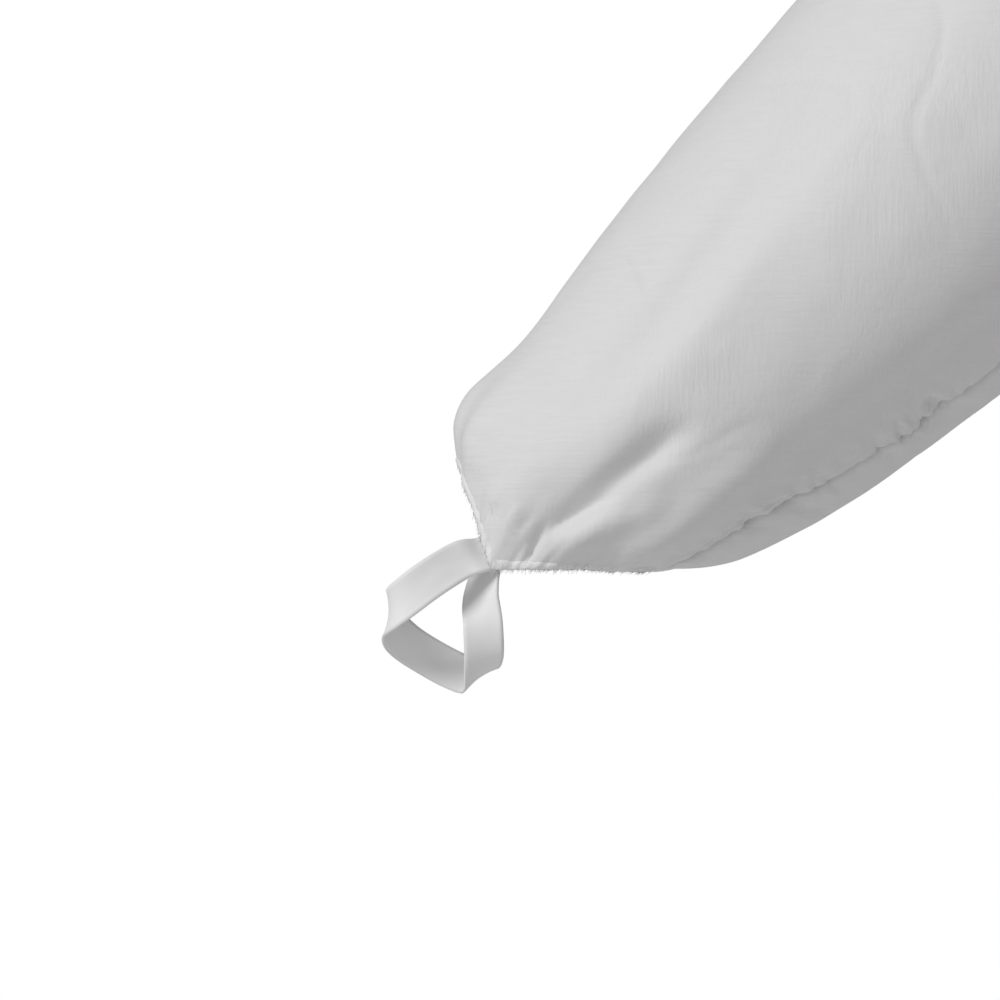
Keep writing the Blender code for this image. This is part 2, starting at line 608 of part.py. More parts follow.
def half_oval(half_length, height, count):
    """Points of a half oval over a base line, from its right end to its left end."""
    return [(half_length * cos(pi * i / count), height * sin(pi * i / count)) for i in range(count + 1)]


def join(target, tool, operation, tools):
    """Adds or cuts a tool object by a live Boolean, and hides the tool."""
    cut = target.modifiers.new(tool.name, "BOOLEAN")
    cut.operation = operation
    cut.object = tool
    cut.solver = "EXACT"
    hide_tool(tool, tools)


def hide_tool(tool, tools):
    for owner in tool.users_collection:
        owner.objects.unlink(tool)
    tools.objects.link(tool)
    tool.hide_render = True
    tool.display_type = "WIRE"


def zip_slider(finish, parts, tools):
    """The slider: a plate over the chain with two flanges beside it, and the bail that holds the pull."""
    top = SLIDER_LIFT + SLIDER_PLATE
    drop = SLIDER_LIFT - SLIDER_FLANGE_DROP
    channel = [
        (-SLIDER_HALF_WIDTH, drop), (-SLIDER_HALF_WIDTH + SLIDER_FLANGE, drop),
        (-SLIDER_HALF_WIDTH + SLIDER_FLANGE, SLIDER_LIFT), (SLIDER_HALF_WIDTH - SLIDER_FLANGE, SLIDER_LIFT),
        (SLIDER_HALF_WIDTH - SLIDER_FLANGE, drop), (SLIDER_HALF_WIDTH, drop),
        (SLIDER_HALF_WIDTH, top), (-SLIDER_HALF_WIDTH, top),
    ]
    body = new_object("zip_slider", prism(channel, 1, -SLIDER_HALF_LENGTH, SLIDER_HALF_LENGTH), finish,
                      parts, smooth=False)
    arch = half_oval(BAIL_HALF_LENGTH, BAIL_HEIGHT, 12)
    hole = half_oval(BAIL_HOLE_HALF_LENGTH, BAIL_HOLE_HEIGHT, 12)
    sunk = -SLIDER_PLATE / 2
    outline = [(BAIL_HALF_LENGTH, sunk)] + arch + [(-BAIL_HALF_LENGTH, sunk),
                                                   (-BAIL_HOLE_HALF_LENGTH, sunk)]
    outline += hole[::-1] + [(BAIL_HOLE_HALF_LENGTH, sunk)]
    outline = [(along, lift + top) for along, lift in outline]
    bail = new_object("bail_tool", prism(outline, 0, -BAIL_HALF_WIDTH, BAIL_HALF_WIDTH), finish, parts,
                      smooth=False)
    frame = chain_frame()
    body.matrix_world = frame
    bail.matrix_world = frame
    join(body, bail, "UNION", tools)
    return frame


def zip_pull(frame, finish, parts, tools):
    """The pull tab, hanging straight down from its bar in the bail. Its origin lies on the bar's axis."""
    axis = frame @ Vector((0, -PULL_BAR_DROP, SLIDER_LIFT + SLIDER_PLATE + PULL_BAR_LIFT))
    half = PULL_THICKNESS / 2
    neck = -PULL_ARM_LENGTH
    end = -PULL_LENGTH + PULL_HALF_WIDTH
    round_end = [(-x, end - y) for x, y in half_oval(PULL_HALF_WIDTH, PULL_HALF_WIDTH, 10)]
    outline = [(PULL_ARM_OUTER, 0), (PULL_ARM_OUTER, neck), (PULL_HALF_WIDTH, neck - 0.001)]
    outline += round_end[::-1]
    outline += [(-PULL_HALF_WIDTH, neck - 0.001), (-PULL_ARM_OUTER, neck), (-PULL_ARM_OUTER, 0)]
    outline += [(-PULL_ARM_INNER, 0), (-PULL_ARM_INNER, neck), (PULL_ARM_INNER, neck), (PULL_ARM_INNER, 0)]
    tab = new_object("zip_pull", prism(outline, 1, -half, half), finish, parts, smooth=False)
    bar = bmesh.new()
    bmesh.ops.create_cone(bar, cap_ends=True, segments=16, radius1=PULL_BAR_RADIUS + 0.00002,
                          radius2=PULL_BAR_RADIUS + 0.00002, depth=2 * PULL_ARM_OUTER - 0.0004,
                          matrix=Matrix.Rotation(pi / 2, 4, "Y"))
    bar = new_object("pull_bar_tool", bar, finish, parts)
    tab.location = axis
    bar.location = axis
    join(tab, bar, "UNION", tools)


def thumb_loop(side):
    """Flat tape from the cuff's corner round the thumb and back; both ends lie inside the cuff."""
    corner = wall_point(sleeve_surface, CORNER_TURN, 0, WALL + SEAM_GAP)

    def point(column, row, depth):
        spot = section_at(LOOP_POINTS, (len(LOOP_POINTS) - 1) * row / LOOP_SPANS)
        ahead = section_at(LOOP_POINTS, (len(LOOP_POINTS) - 1) * (row + 0.1) / LOOP_SPANS)
        travel = Vector((ahead.x - spot.x, ahead.y - spot.y, ahead.z - spot.z)).normalized()
        across = Vector((spot.across_x, spot.across_y, spot.across_z))
        across = (across - travel * across.dot(travel)).normalized()
        out = travel.cross(across)
        place = corner + Vector((spot.x, spot.y, spot.z)) + across * LOOP_WIDTH * (column - 0.5)
        return mirrored(place + out * (depth - TAPE_WALL / 2), side)
    return cloth_wall(1, LOOP_SPANS, point, wall=TAPE_WALL)


def build():
    for old in list(bpy.data.objects):
        bpy.data.objects.remove(old)
    parts = bpy.data.collections.new(COLLECTION)
    tools = bpy.data.collections.new("cutters")
    bpy.context.scene.collection.children.link(parts)
    bpy.context.scene.collection.children.link(tools)
    cloth = material("white_cloth", (0.72, 0.72, 0.72), 0.55)
    elastic = material("overlocked_edge", (0.74, 0.74, 0.73), 0.8)
    tape = material("white_tape", (0.70, 0.70, 0.70), 0.6)
    nylon = material("white_nylon", (0.70, 0.70, 0.69), 0.35)

    block = new_object("body_block", body_block(), cloth, parts)
    hide_tool(block, tools)
    for word, side in (("right", -1), ("left", 1)):
        cavity = new_object(f"sleeve_cavity_{word}", sleeve_cavity(side), cloth, parts)
        for front, name in ((True, "front"), (False, "back")):
            panel = new_object(f"{name}_{word}", body_panel(front, side), cloth, parts)
            join(panel, cavity, "DIFFERENCE", tools)
        sleeve = new_object(f"sleeve_{word}", sleeve_panel(side), cloth, parts)
        join(sleeve, block, "DIFFERENCE", tools)
        new_object(f"cuff_{word}", cuff_edge(side), elastic, parts)
        new_object(f"thumb_loop_{word}", thumb_loop(side), tape, parts)
        hood = cloth_wall(HOOD_COLUMNS, len(HOOD_ROWS) - 1, hood_panel_point(side))
        new_object(f"hood_{word}", hood, cloth, parts)
        new_object(f"face_edge_{word}", face_edge(side), elastic, parts)
        new_object(f"ankle_edge_{word}", ankle_edge(side), elastic, parts)
        strip = front_strip(side, ZIP_TAPE_INNER, ZIP_TAPE_OUTER, -ZIP_TAPE_GAP, TAPE_WALL)
        new_object(f"zip_tape_{word}", strip, tape, parts)
    new_object("zip_chain", zip_chain(), nylon, parts)
    frame = zip_slider(nylon, parts, tools)
    zip_pull(frame, nylon, parts, tools)


build()
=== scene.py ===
"""Hooded coverall of thin white non-woven cloth, standing hollow as it is worn.

The garment faces -Y with +Z up and its right side at -X, in metres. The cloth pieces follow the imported
solids' own surfaces, as thin shells with their seams, gathers and creases.
"""

import random
from collections import namedtuple
from math import acos, cos, exp, floor, hypot, pi, radians, sin

import bmesh
import bpy
from bpy.props import FloatProperty, FloatVectorProperty, IntProperty, PointerProperty
from mathutils import Matrix, Vector, noise


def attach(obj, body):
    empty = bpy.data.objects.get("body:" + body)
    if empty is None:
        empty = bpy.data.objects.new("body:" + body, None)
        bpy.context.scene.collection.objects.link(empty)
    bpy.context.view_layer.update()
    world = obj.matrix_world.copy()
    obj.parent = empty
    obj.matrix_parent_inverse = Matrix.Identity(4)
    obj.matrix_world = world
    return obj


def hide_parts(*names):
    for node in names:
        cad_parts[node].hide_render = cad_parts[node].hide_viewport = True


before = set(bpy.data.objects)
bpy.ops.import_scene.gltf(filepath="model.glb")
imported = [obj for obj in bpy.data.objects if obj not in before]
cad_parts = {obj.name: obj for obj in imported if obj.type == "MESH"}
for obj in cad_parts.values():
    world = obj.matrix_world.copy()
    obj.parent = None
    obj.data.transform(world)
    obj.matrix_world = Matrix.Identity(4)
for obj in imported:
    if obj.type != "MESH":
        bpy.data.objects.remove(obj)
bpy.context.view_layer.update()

bl_info = {
    "name": "Hooded coverall",
    "version": (1, 0, 0),
    "blender": (4, 5, 0),
    "location": "View3D > Sidebar > Coverall",
    "description": "Dresses the packed coverall with cloth, edges, thumb loops, zip and finishes",
    "category": "Add Mesh",
}

GARMENT = "garment"  # the body that all but the pull tab ride on
SIDES = (("right", -1), ("left", 1))
CLOTH, THREAD, NYLON = "white_nonwoven_cloth", "white_overlock_thread", "white_nylon"
LOOP_TAPE, ZIP_TAPE = "white_loop_tape", "white_zip_tape"

# Body: sections from the ankle (row 0) over the crotch (row 10) and waist (row 16) to the neck (row 28).
BodySection = namedtuple("BodySection", "height lobe half_width front back")
BODY_SECTIONS = tuple(BodySection(*row) for row in (
    (-1.425, 0.150, 0.047, 0.049, 0.055),
    (-1.407, 0.150, 0.047, 0.049, 0.056),
    (-1.378, 0.149, 0.066, 0.066, 0.076),
    (-1.330, 0.148, 0.082, 0.082, 0.092),
    (-1.260, 0.146, 0.088, 0.087, 0.096),
    (-1.160, 0.143, 0.092, 0.092, 0.102),
    (-1.050, 0.139, 0.098, 0.101, 0.104),
    (-0.950, 0.134, 0.106, 0.108, 0.114),
    (-0.865, 0.128, 0.114, 0.116, 0.128),
    (-0.800, 0.122, 0.119, 0.124, 0.140),
    (-0.755, 0.119, 0.119, 0.130, 0.150),
    (-0.715, 0.106, 0.129, 0.136, 0.159),
    (-0.665, 0.078, 0.154, 0.141, 0.166),
    (-0.600, 0.040, 0.189, 0.143, 0.168),
    (-0.530, 0.012, 0.209, 0.138, 0.158),
    (-0.470, 0.000, 0.193, 0.127, 0.140),
    (-0.430, 0.000, 0.170, 0.116, 0.123),
    (-0.385, 0.000, 0.197, 0.131, 0.140),
    (-0.315, 0.000, 0.218, 0.147, 0.153),
    (-0.235, 0.000, 0.224, 0.149, 0.156),
    (-0.165, 0.000, 0.221, 0.141, 0.153),
    (-0.118, 0.000, 0.216, 0.131, 0.146),
    (-0.086, 0.000, 0.208, 0.121, 0.137),
    (-0.062, 0.000, 0.193, 0.111, 0.126),
    (-0.046, 0.000, 0.171, 0.103, 0.116),
    (-0.031, 0.000, 0.142, 0.095, 0.106),
    (-0.017, 0.000, 0.116, 0.090, 0.099),
    (-0.001, 0.000, 0.099, 0.087, 0.094),
    (0.018, 0.000, 0.093, 0.086, 0.092),
))
ANKLE_TOP, ZIP_FOOT, WAIST, NECK = 1, 13, 16, 28
MOST_CUT_OFF = -0.9  # least cosine of the angle at which an oval may start
WAIST_WAVES, WAIST_WAVE_DEPTH, WAIST_WAVE_REACH = 16, 0.0045, 0.035
ANKLE_WAVES, ANKLE_WAVE_DEPTH, ANKLE_WAVE_REACH = 8, 0.0022, 0.030
FLAT_BY_ZIP = 0.024  # width without relief beside the zip
BODY_GRID_COLUMNS = 58
BODY_AXIS_X = 0.14  # of a leg's middle
CROTCH_HEIGHT = -0.75
HOLE_TUCK = 0.0028  # of the panels' cloth into the sleeve, round an armhole

# Relief of the body's cloth: its swells, creases, gathers and seams
SLOW_SWELL, FAST_SWELL = 0.0030, 0.0014
WIDE_CREASE, NARROW_CREASE = 0.0018, 0.0008
WAIST_GATHER, ANKLE_GATHER, FINE_GATHER, WAIST_GROOVE = 0.0022, 0.0012, 0.0009, 0.0016
SEAM_GROOVE, SEAM_PUCKER, HOOD_PUCKER, PUCKER_REACH = 0.0012, 0.0009, 0.0010, 0.0065

# Folds of the body: from and to a turn in degrees (90 front, 180 side, 270 back) and a height. The large
# ones are in the solids too, and the fine ones lie between them.
BodyFold = namedtuple("BodyFold", "from_turn from_height to_turn to_height width depth power")
BODY_FOLDS = tuple(BodyFold(*row) for row in (
    (92, -0.700, 150, -0.585, 0.022, -0.0050, 2),
    (94, -0.650, 165, -0.520, 0.026, 0.0045, 2),
    (60, -0.830, 150, -0.740, 0.022, -0.0045, 2),
    (70, -1.060, 150, -1.020, 0.020, -0.0050, 2),
    (60, -1.110, 140, -1.090, 0.022, 0.0045, 2),
    (60, -1.300, 160, -1.265, 0.018, -0.0045, 2),
    (170, -0.290, 125, -0.400, 0.022, -0.0050, 2),
    (160, -0.250, 115, -0.330, 0.024, 0.0040, 2),
    (190, -0.290, 240, -0.400, 0.024, -0.0055, 2),
    (266, -0.690, 205, -0.580, 0.024, -0.0055, 2),
    (262, -0.640, 200, -0.510, 0.026, 0.0045, 2),
    (290, -0.840, 200, -0.760, 0.022, -0.0050, 2),
    (290, -1.010, 200, -1.060, 0.020, -0.0060, 2),
    (295, -1.080, 205, -1.120, 0.022, 0.0050, 2),
    (300, -1.290, 200, -1.250, 0.018, -0.0045, 2),
))
FINE_BODY_FOLDS = tuple(BodyFold(*row) for row in (
    (112, -0.150, 158, -0.236, 0.009, -0.0022, 1.5),
    (104, -0.205, 150, -0.300, 0.007, -0.0016, 1.4),
    (128, -0.118, 170, -0.172, 0.008, 0.0016, 1.6),
    (96, -0.330, 128, -0.376, 0.006, -0.0014, 1.3),
    (118, -0.452, 146, -0.512, 0.007, -0.0020, 1.4),
    (140, -0.446, 172, -0.496, 0.006, 0.0018, 1.4),
    (84, -0.742, 118, -0.668, 0.008, -0.0026, 1.4),
    (66, -0.790, 108, -0.716, 0.007, 0.0020, 1.5),
    (52, -0.868, 96, -0.806, 0.008, -0.0022, 1.4),
    (100, -0.905, 158, -0.930, 0.009, -0.0018, 1.5),
    (74, -0.985, 132, -1.004, 0.007, 0.0016, 1.4),
    (58, -1.036, 104, -1.048, 0.006, -0.0019, 1.3),
    (108, -1.142, 150, -1.128, 0.007, -0.0015, 1.4),
    (48, -1.188, 98, -1.206, 0.009, 0.0014, 1.6),
    (88, -1.242, 142, -1.232, 0.007, -0.0020, 1.4),
    (40, -1.322, 84, -1.336, 0.006, -0.0022, 1.4),
    (96, -1.338, 150, -1.326, 0.006, 0.0018, 1.4),
    (202, -0.140, 252, -0.232, 0.009, -0.0020, 1.5),
    (212, -0.200, 262, -0.286, 0.008, -0.0016, 1.4),
    (196, -0.455, 226, -0.520, 0.007, -0.0020, 1.4),
    (228, -0.448, 258, -0.504, 0.007, 0.0018, 1.5),
    (272, -0.760, 236, -0.700, 0.008, -0.0026, 1.4),
    (300, -0.815, 250, -0.770, 0.008, 0.0020, 1.5),
    (286, -0.900, 214, -0.868, 0.009, -0.0020, 1.5),
    (268, -0.962, 214, -0.985, 0.008, 0.0018, 1.4),
    (292, -1.046, 230, -1.032, 0.007, -0.0022, 1.3),
    (250, -1.150, 206, -1.166, 0.007, -0.0016, 1.4),
    (296, -1.214, 232, -1.196, 0.008, -0.0016, 1.5),
    (282, -1.334, 220, -1.318, 0.006, -0.0020, 1.4),
))

# Sleeve: sections from the cuff's rim (row 0) to inside the shoulder, about the arm's line.
SleeveSection = namedtuple("SleeveSection", "along upper lower tilt front back")
SLEEVE_SECTIONS = tuple(SleeveSection(*row) for row in (
    (0.0000, 0.0263, 0.0263, -0.0107, 0.0260, 0.0240),
    (0.0035, 0.0305, 0.0300, -0.0115, 0.0290, 0.0270),
    (0.0080, 0.0352, 0.0335, -0.0120, 0.0330, 0.0310),
    (0.0143, 0.0383, 0.0368, -0.0117, 0.0360, 0.0340),
    (0.0230, 0.0393, 0.0398, -0.0110, 0.0390, 0.0370),
    (0.0340, 0.0400, 0.0425, -0.0098, 0.0420, 0.0400),
    (0.0460, 0.0428, 0.0445, -0.0080, 0.0450, 0.0430),
    (0.0600, 0.0461, 0.0464, -0.0060, 0.0475, 0.0460),
    (0.0760, 0.0493, 0.0480, -0.0040, 0.0500, 0.0490),
    (0.0940, 0.0524, 0.0497, -0.0020, 0.0530, 0.0515),
    (0.1140, 0.0554, 0.0516, 0.0000, 0.0555, 0.0540),
    (0.1370, 0.0582, 0.0538, 0.0000, 0.0575, 0.0560),
    (0.1650, 0.0602, 0.0560, 0.0000, 0.0595, 0.0580),
    (0.2000, 0.0620, 0.0585, 0.0000, 0.0610, 0.0600),
    (0.2400, 0.0640, 0.0615, 0.0000, 0.0625, 0.0620),
    (0.2850, 0.0660, 0.0655, 0.0000, 0.0650, 0.0650),
    (0.3350, 0.0680, 0.0705, 0.0010, 0.0700, 0.0705),
    (0.3850, 0.0700, 0.0770, 0.0050, 0.0755, 0.0770),
    (0.4300, 0.0715, 0.0840, 0.0140, 0.0810, 0.0835),
    (0.4700, 0.0715, 0.0890, 0.0300, 0.0855, 0.0885),
    (0.5080, 0.0640, 0.0910, 0.0480, 0.0875, 0.0905),
    (0.5450, 0.0500, 0.0910, 0.0600, 0.0880, 0.0910),
    (0.5850, 0.0380, 0.0880, 0.0660, 0.0860, 0.0890),
))
CUFF_CENTRE = Vector((-0.592, -0.030, -0.500))
ARM_SLOPE = radians(41.75)
ARM_LENGTH = 0.580
SEAM_AT_CUFF, SEAM_AT_SHOULDER = radians(145), radians(180)
SEAM_TURN_START, SEAM_TURN_END = 0.12, 0.45
CUFF_WAVES, CUFF_WAVE_DEPTH, CUFF_WAVE_REACH = 12, 0.0009, 0.014
CORNER_TURN = SEAM_AT_CUFF * 9 / 19
CORNER_PULL, CORNER_PULL_REACH = 0.019, 0.026
PULL_ALONG, PULL_ACROSS = -0.926, -0.377
SLEEVE_HEAD_FIRST, SLEEVE_HEAD_LAST = 14, 22  # places between which a sleeve meets the body
SLEEVE_TUCK = 0.005  # of the sleeve's end into the body
SLEEVE_START = 0.22  # place at which the sleeve's own cloth starts, under the cuff's edge
SLEEVE_FIXED = 0.15  # length up the arm over which the rows are level
SLEEVE_NOMINAL_END = 0.52
CUFF_BAND_TOP = 0.62  # place at which the cuff's overlock ends
CUFF_FRONT_SHARE = 0.73  # of the overlock's columns that lie on the front
CUFF_EDGE_WALL, EDGE_WALL = 0.0009, 0.0010  # of the cuffs' overlock, and of the other edges'
STITCH_LIFT = 0.00016  # of an overlock stitch over the edge
FRINGE_RADIUS, FRINGE_LENGTHS = 0.00007, (0.0006, 0.0018)

# Relief of the sleeve's cloth: it is calm up to a length up the arm, then rougher
CALM_UP_TO, CALM_FADE = 0.10, 0.15
RIM_FADE = 0.006
KNOT_ALONG, KNOT_ACROSS, KNOT_REACH, KNOT_DEPTH = -0.0125, 0.0100, 0.0058, 0.0013  # crumples by the loop
SHARP_UP_TO, SHARP_FADE = 0.036, 0.018  # length up the arm over which the seam is sharp
BAND_AT, BAND_GROOVE, BAND_WIDTH = 0.0026, 0.0004, 0.0006  # the felled edge beside the seam

# Folds on a sleeve's front, in metres up the arm and across it from its line towards the upper edge.
SleeveFold = namedtuple("SleeveFold", "from_along from_across to_along to_across bow width depth power")
SLEEVE_FOLDS = tuple(SleeveFold(*row) for row in (
    (0.150, 0.047, 0.012, 0.0140, -0.0035, 0.0064, -0.0020, 2),
    (0.090, 0.022, -0.009, 0.0060, -0.0030, 0.0075, 0.0009, 2),
    (0.043, -0.0040, -0.0142, -0.0012, 0.0012, 0.0040, -0.0034, 2),
    (0.026, -0.0135, -0.0115, -0.0042, -0.0012, 0.0036, 0.0017, 2),
    (0.140, -0.036, 0.016, -0.0240, -0.0020, 0.0060, -0.0024, 2),
    (0.235, 0.020, 0.150, -0.0400, 0.0050, 0.0110, -0.0034, 2),
    (0.275, 0.040, 0.235, -0.0350, -0.0040, 0.0130, -0.0050, 2),
    (0.305, 0.030, 0.270, -0.0450, 0.0060, 0.0120, 0.0040, 2),
    (0.430, -0.060, 0.350, 0.0300, 0.0060, 0.0140, -0.0050, 2),
    (0.470, -0.050, 0.410, 0.0400, 0.0080, 0.0150, 0.0045, 2),
))
BACK_FOLD_SHARE = 0.6
FINE_SLEEVE_FOLDS = tuple(SleeveFold(*row) for row in (
    (0.0580, -0.0220, -0.0080, -0.0170, -0.0010, 0.0056, 0.0019, 2),
    (-0.0035, 0.0026, -0.0148, -0.0030, 0.0004, 0.0012, -0.0018, 1.3),
    (0.0150, -0.0050, -0.0080, 0.0016, 0.0006, 0.0018, -0.0011, 1.5),
    (0.0140, -0.0110, -0.0090, -0.0010, 0.0010, 0.0030, 0.0007, 2),
    (0.0095, 0.0212, 0.0093, 0.0146, 0.0010, 0.0007, -0.0004, 1.5),
    (0.0600, 0.0445, 0.0515, 0.0250, 0.0012, 0.0008, -0.0004, 1.5),
    (0.0545, 0.0400, 0.0490, 0.0270, -0.0006, 0.0009, 0.0004, 1.5),
    (0.0640, 0.0370, 0.0560, 0.0290, 0.0006, 0.0010, -0.0003, 1.5),
    (0.0425, -0.0345, 0.0530, -0.0445, 0.0006, 0.0010, -0.0009, 1.3),
    (0.0470, -0.0340, 0.0560, -0.0420, -0.0005, 0.0014, 0.0006, 1.5),
    (0.0680, -0.0372, 0.0720, -0.0440, 0.0004, 0.0010, -0.0008, 1.4),
    (0.0765, -0.0378, 0.0790, -0.0455, 0.0004, 0.0012, 0.0008, 1.5),
    (0.0850, -0.0370, 0.0960, -0.0460, 0.0012, 0.0014, -0.0009, 1.4),
    (0.0880, -0.0400, 0.1050, -0.0475, 0.0014, 0.0016, 0.0008, 1.6),
    (0.1170, -0.0380, 0.1280, -0.0500, 0.0010, 0.0014, -0.0010, 1.4),
    (-0.0150, 0.0080, -0.0060, 0.0100, 0.0006, 0.0007, 0.0006, 1.5),
    (-0.0160, 0.0110, -0.0090, 0.0128, -0.0004, 0.0006, -0.0005, 1.5),
    (-0.0120, 0.0062, -0.0040, 0.0060, 0.0005, 0.0008, -0.0005, 1.5),
    (0.0020, 0.0256, 0.0082, 0.0120, 0.0010, 0.0010, -0.0003, 1.5),
    (-0.0020, 0.0215, 0.0092, 0.0180, 0.0006, 0.0009, 0.0003, 1.5),
    (-0.0120, 0.0230, -0.0030, 0.0190, 0.0006, 0.0016, -0.0006, 1.5),
    (-0.0065, -0.0110, -0.0010, -0.0084, 0.0002, 0.0009, -0.0005, 1.5),
    (-0.0002, -0.0165, 0.0060, -0.0140, 0.0003, 0.0010, -0.0005, 1.5),
    (0.0030, -0.0185, 0.0260, -0.0262, 0.0008, 0.0013, -0.0009, 1.3),
    (0.1950, 0.0400, 0.1700, 0.0100, 0.0030, 0.0030, -0.0011, 1.4),
    (0.2150, 0.0300, 0.1800, -0.0200, -0.0030, 0.0034, -0.0014, 1.4),
    (0.2480, 0.0450, 0.2250, 0.0000, 0.0030, 0.0030, -0.0018, 1.3),
    (0.2600, 0.0100, 0.2440, -0.0400, -0.0020, 0.0030, 0.0016, 1.4),
    (0.2900, 0.0450, 0.2620, 0.0050, 0.0040, 0.0034, -0.0018, 1.4),
    (0.3150, 0.0000, 0.2860, -0.0480, 0.0030, 0.0034, -0.0016, 1.4),
    (0.3500, 0.0400, 0.3200, 0.0000, -0.0040, 0.0040, 0.0014, 1.5),
    (0.3900, 0.0100, 0.3450, -0.0500, 0.0050, 0.0040, -0.0020, 1.4),
    (0.4200, 0.0450, 0.3850, 0.0100, 0.0040, 0.0044, -0.0018, 1.5),
    (0.4450, -0.0150, 0.4050, -0.0650, 0.0040, 0.0040, -0.0020, 1.4),
))

# Right thumb loop: the tape's middle line from the cuff's corner round and back, measured from that
# corner, with the direction of the tape's width at each point.
LoopPoint = namedtuple("LoopPoint", "x y z across_x across_y across_z")
LOOP_POINTS = tuple(LoopPoint(*row) for row in (
    (0.0036, 0.0030, 0.0078, 0.72, -0.45, -0.53),
    (-0.0018, 0.0030, 0.0034, 0.58, -0.45, -0.68),
    (-0.0075, 0.0008, 0.0020, 0.57, -0.22, -0.79),
    (-0.0140, -0.0018, -0.0017, 0.54, -0.08, -0.84),
    (-0.0200, -0.0016, -0.0060, 0.38, 0.00, -0.92),
    (-0.0246, 0.0020, -0.0100, 0.10, 0.00, -0.99),
    (-0.0260, 0.0085, -0.0132, -0.17, 0.00, -0.98),
    (-0.0225, 0.0165, -0.0185, -0.45, 0.05, -0.88),
    (-0.0145, 0.0205, -0.0238, -0.62, 0.05, -0.78),
    (-0.0072, 0.0170, -0.0272, -0.74, 0.00, -0.67),
    (-0.0038, 0.0100, -0.0274, -0.80, 0.00, -0.60),
    (-0.0026, 0.0035, -0.0220, -0.94, 0.00, -0.30),
    (-0.0028, 0.0010, -0.0145, -0.97, 0.12, -0.05),
    (-0.0033, 0.0030, -0.0075, -0.80, 0.52, 0.08),
    (-0.0020, 0.0058, -0.0008, -0.60, 0.74, 0.24),
    (0.0006, 0.0076, 0.0044, -0.60, 0.50, 0.62),
))
LOOP_WIDTH = 0.0098
LOOP_CUT, LOOP_WALL = (0.0100, 0.130), 0.0006
LOOP_DEPTH = 0.0019  # of the loop's end under the cuff's outer surface

# Hood: sections from the neck to the crown's ridge.
HoodSection = namedtuple("HoodSection", "height half_width front back")
HOOD_SECTIONS = tuple(HoodSection(*row) for row in (
    (0.0183, 0.0930, 0.086, 0.092),
    (0.0450, 0.0940, 0.088, 0.096),
    (0.0750, 0.0990, 0.093, 0.105),
    (0.1050, 0.1070, 0.100, 0.116),
    (0.1400, 0.1160, 0.105, 0.127),
    (0.1800, 0.1210, 0.105, 0.135),
    (0.2200, 0.1190, 0.097, 0.137),
    (0.2550, 0.1090, 0.083, 0.129),
    (0.2850, 0.0910, 0.064, 0.112),
    (0.3060, 0.0660, 0.044, 0.086),
    (0.3180, 0.0360, 0.022, 0.054),
    (0.3225, 0.0003, 0.008, 0.032),
))
HOOD_ROWS = (0, 1, 2, 2.25, 2.6, 3, 3.6, 4.3, 5, 5.7, 6.3, 6.8, 7.15, 7.45, 8, 8.7, 9.4, 10, 10.5, 11)
FACE_CENTRE, FACE_HALF_HEIGHT, FACE_HALF_WIDTH = 0.178, 0.098, 0.078
FACE_EDGE_WIDTH = 0.006
FACE_WAVES, FACE_WAVE_DEPTH, FACE_WAVE_REACH = 20, 0.0018, 0.025
FACE_WAVE_SIDE_FADE = 0.04
FACE_MIDDLE = 0.5  # share of the opening within which nothing is gathered
HOOD_GRID_COLUMNS, HOOD_ROW_PARTS = 72, 5
SLOT_HALF_WIDTH = 0.005  # of the gap that the zip closes
CHAIN_TOP = 0.075  # height of the zip's upper end
ZIP_STITCH_X = 0.0085  # from the middle to the stitches beside the zip
ZIP_STITCH_SHARE = 0.72  # of a stitch's length that shows
TOOTH_WIDTH, TOOTH_DEPTH, TOOTH_BEVEL = 0.0030, 0.0014, 0.00018
TOOTH_X, TOOTH_LIFT = 0.0010, 0.0004  # a tooth's middle, from the zip's middle and over the cloth
STEP = 0.001  # by which a surface's slope is measured
HALVINGS = 24  # of a search along a table
FOLD_FADE, FOLD_REACH = 0.3, 3.5  # share of a fold's length that fades, and widths that it reaches
FINE_DEPTH = 1.5  # of the fine folds of the body, against their own table


def section_at(sections, place):
    """Section at a fractional place in a table, on a smooth curve through its rows."""
    last = len(sections) - 1
    start = min(max(floor(place), 0), last - 1)
    t = place - start
    rows = [sections[min(max(start + step, 0), last)] for step in (-1, 0, 1, 2)]
    weights = (
        (-t + 2 * t**2 - t**3) / 2,
        (2 - 5 * t**2 + 3 * t**3) / 2,
        (t + 4 * t**2 - 3 * t**3) / 2,
        (-t**2 + t**3) / 2,
    )
    return type(rows[0])(*(sum(w * v for w, v in zip(weights, column)) for column in zip(*rows)))


def clamp(value, low, high):
    return min(max(value, low), high)


def ease(value):
    """0 below 0, 1 above 1, and a smooth rise between."""
    t = clamp(value, 0.0, 1.0)
    return t * t * (3 - 2 * t)


def between(low, high, share):
    """The value at a share of the way from a low one to a high one."""
    return low + (high - low) * share


def bump_at(offset, width):
    """A smooth hump of 1 at no offset, fading over a width."""
    return exp(-(offset / width) ** 2)


def row_places(sections, first, last, spacing):
    """Places along a table from the first to the last, a spacing apart that may change on the way."""
    places, place = [first], first
    look = 0.02  # of a row, ahead of each place
    while True:
        here, ahead = section_at(sections, place)[0], section_at(sections, place + look)[0]
        place += spacing(here) * look / max(abs(ahead - here), 0.00001)
        if place >= last:
            break
        places.append(place)
    return places + [last]


def place_of(sections, value):
    """The place in a table whose first column has a value."""
    low, high = 0.0, len(sections) - 1.0
    for _ in range(HALVINGS):
        middle = (low + high) / 2
        if section_at(sections, middle)[0] < value:
            low = middle
        else:
            high = middle
    return (low + high) / 2


# ---- Folds, creases and seams, as heights over a surface

FoldLine = namedtuple("FoldLine", "along across unit_along unit_across length bow width depth power")


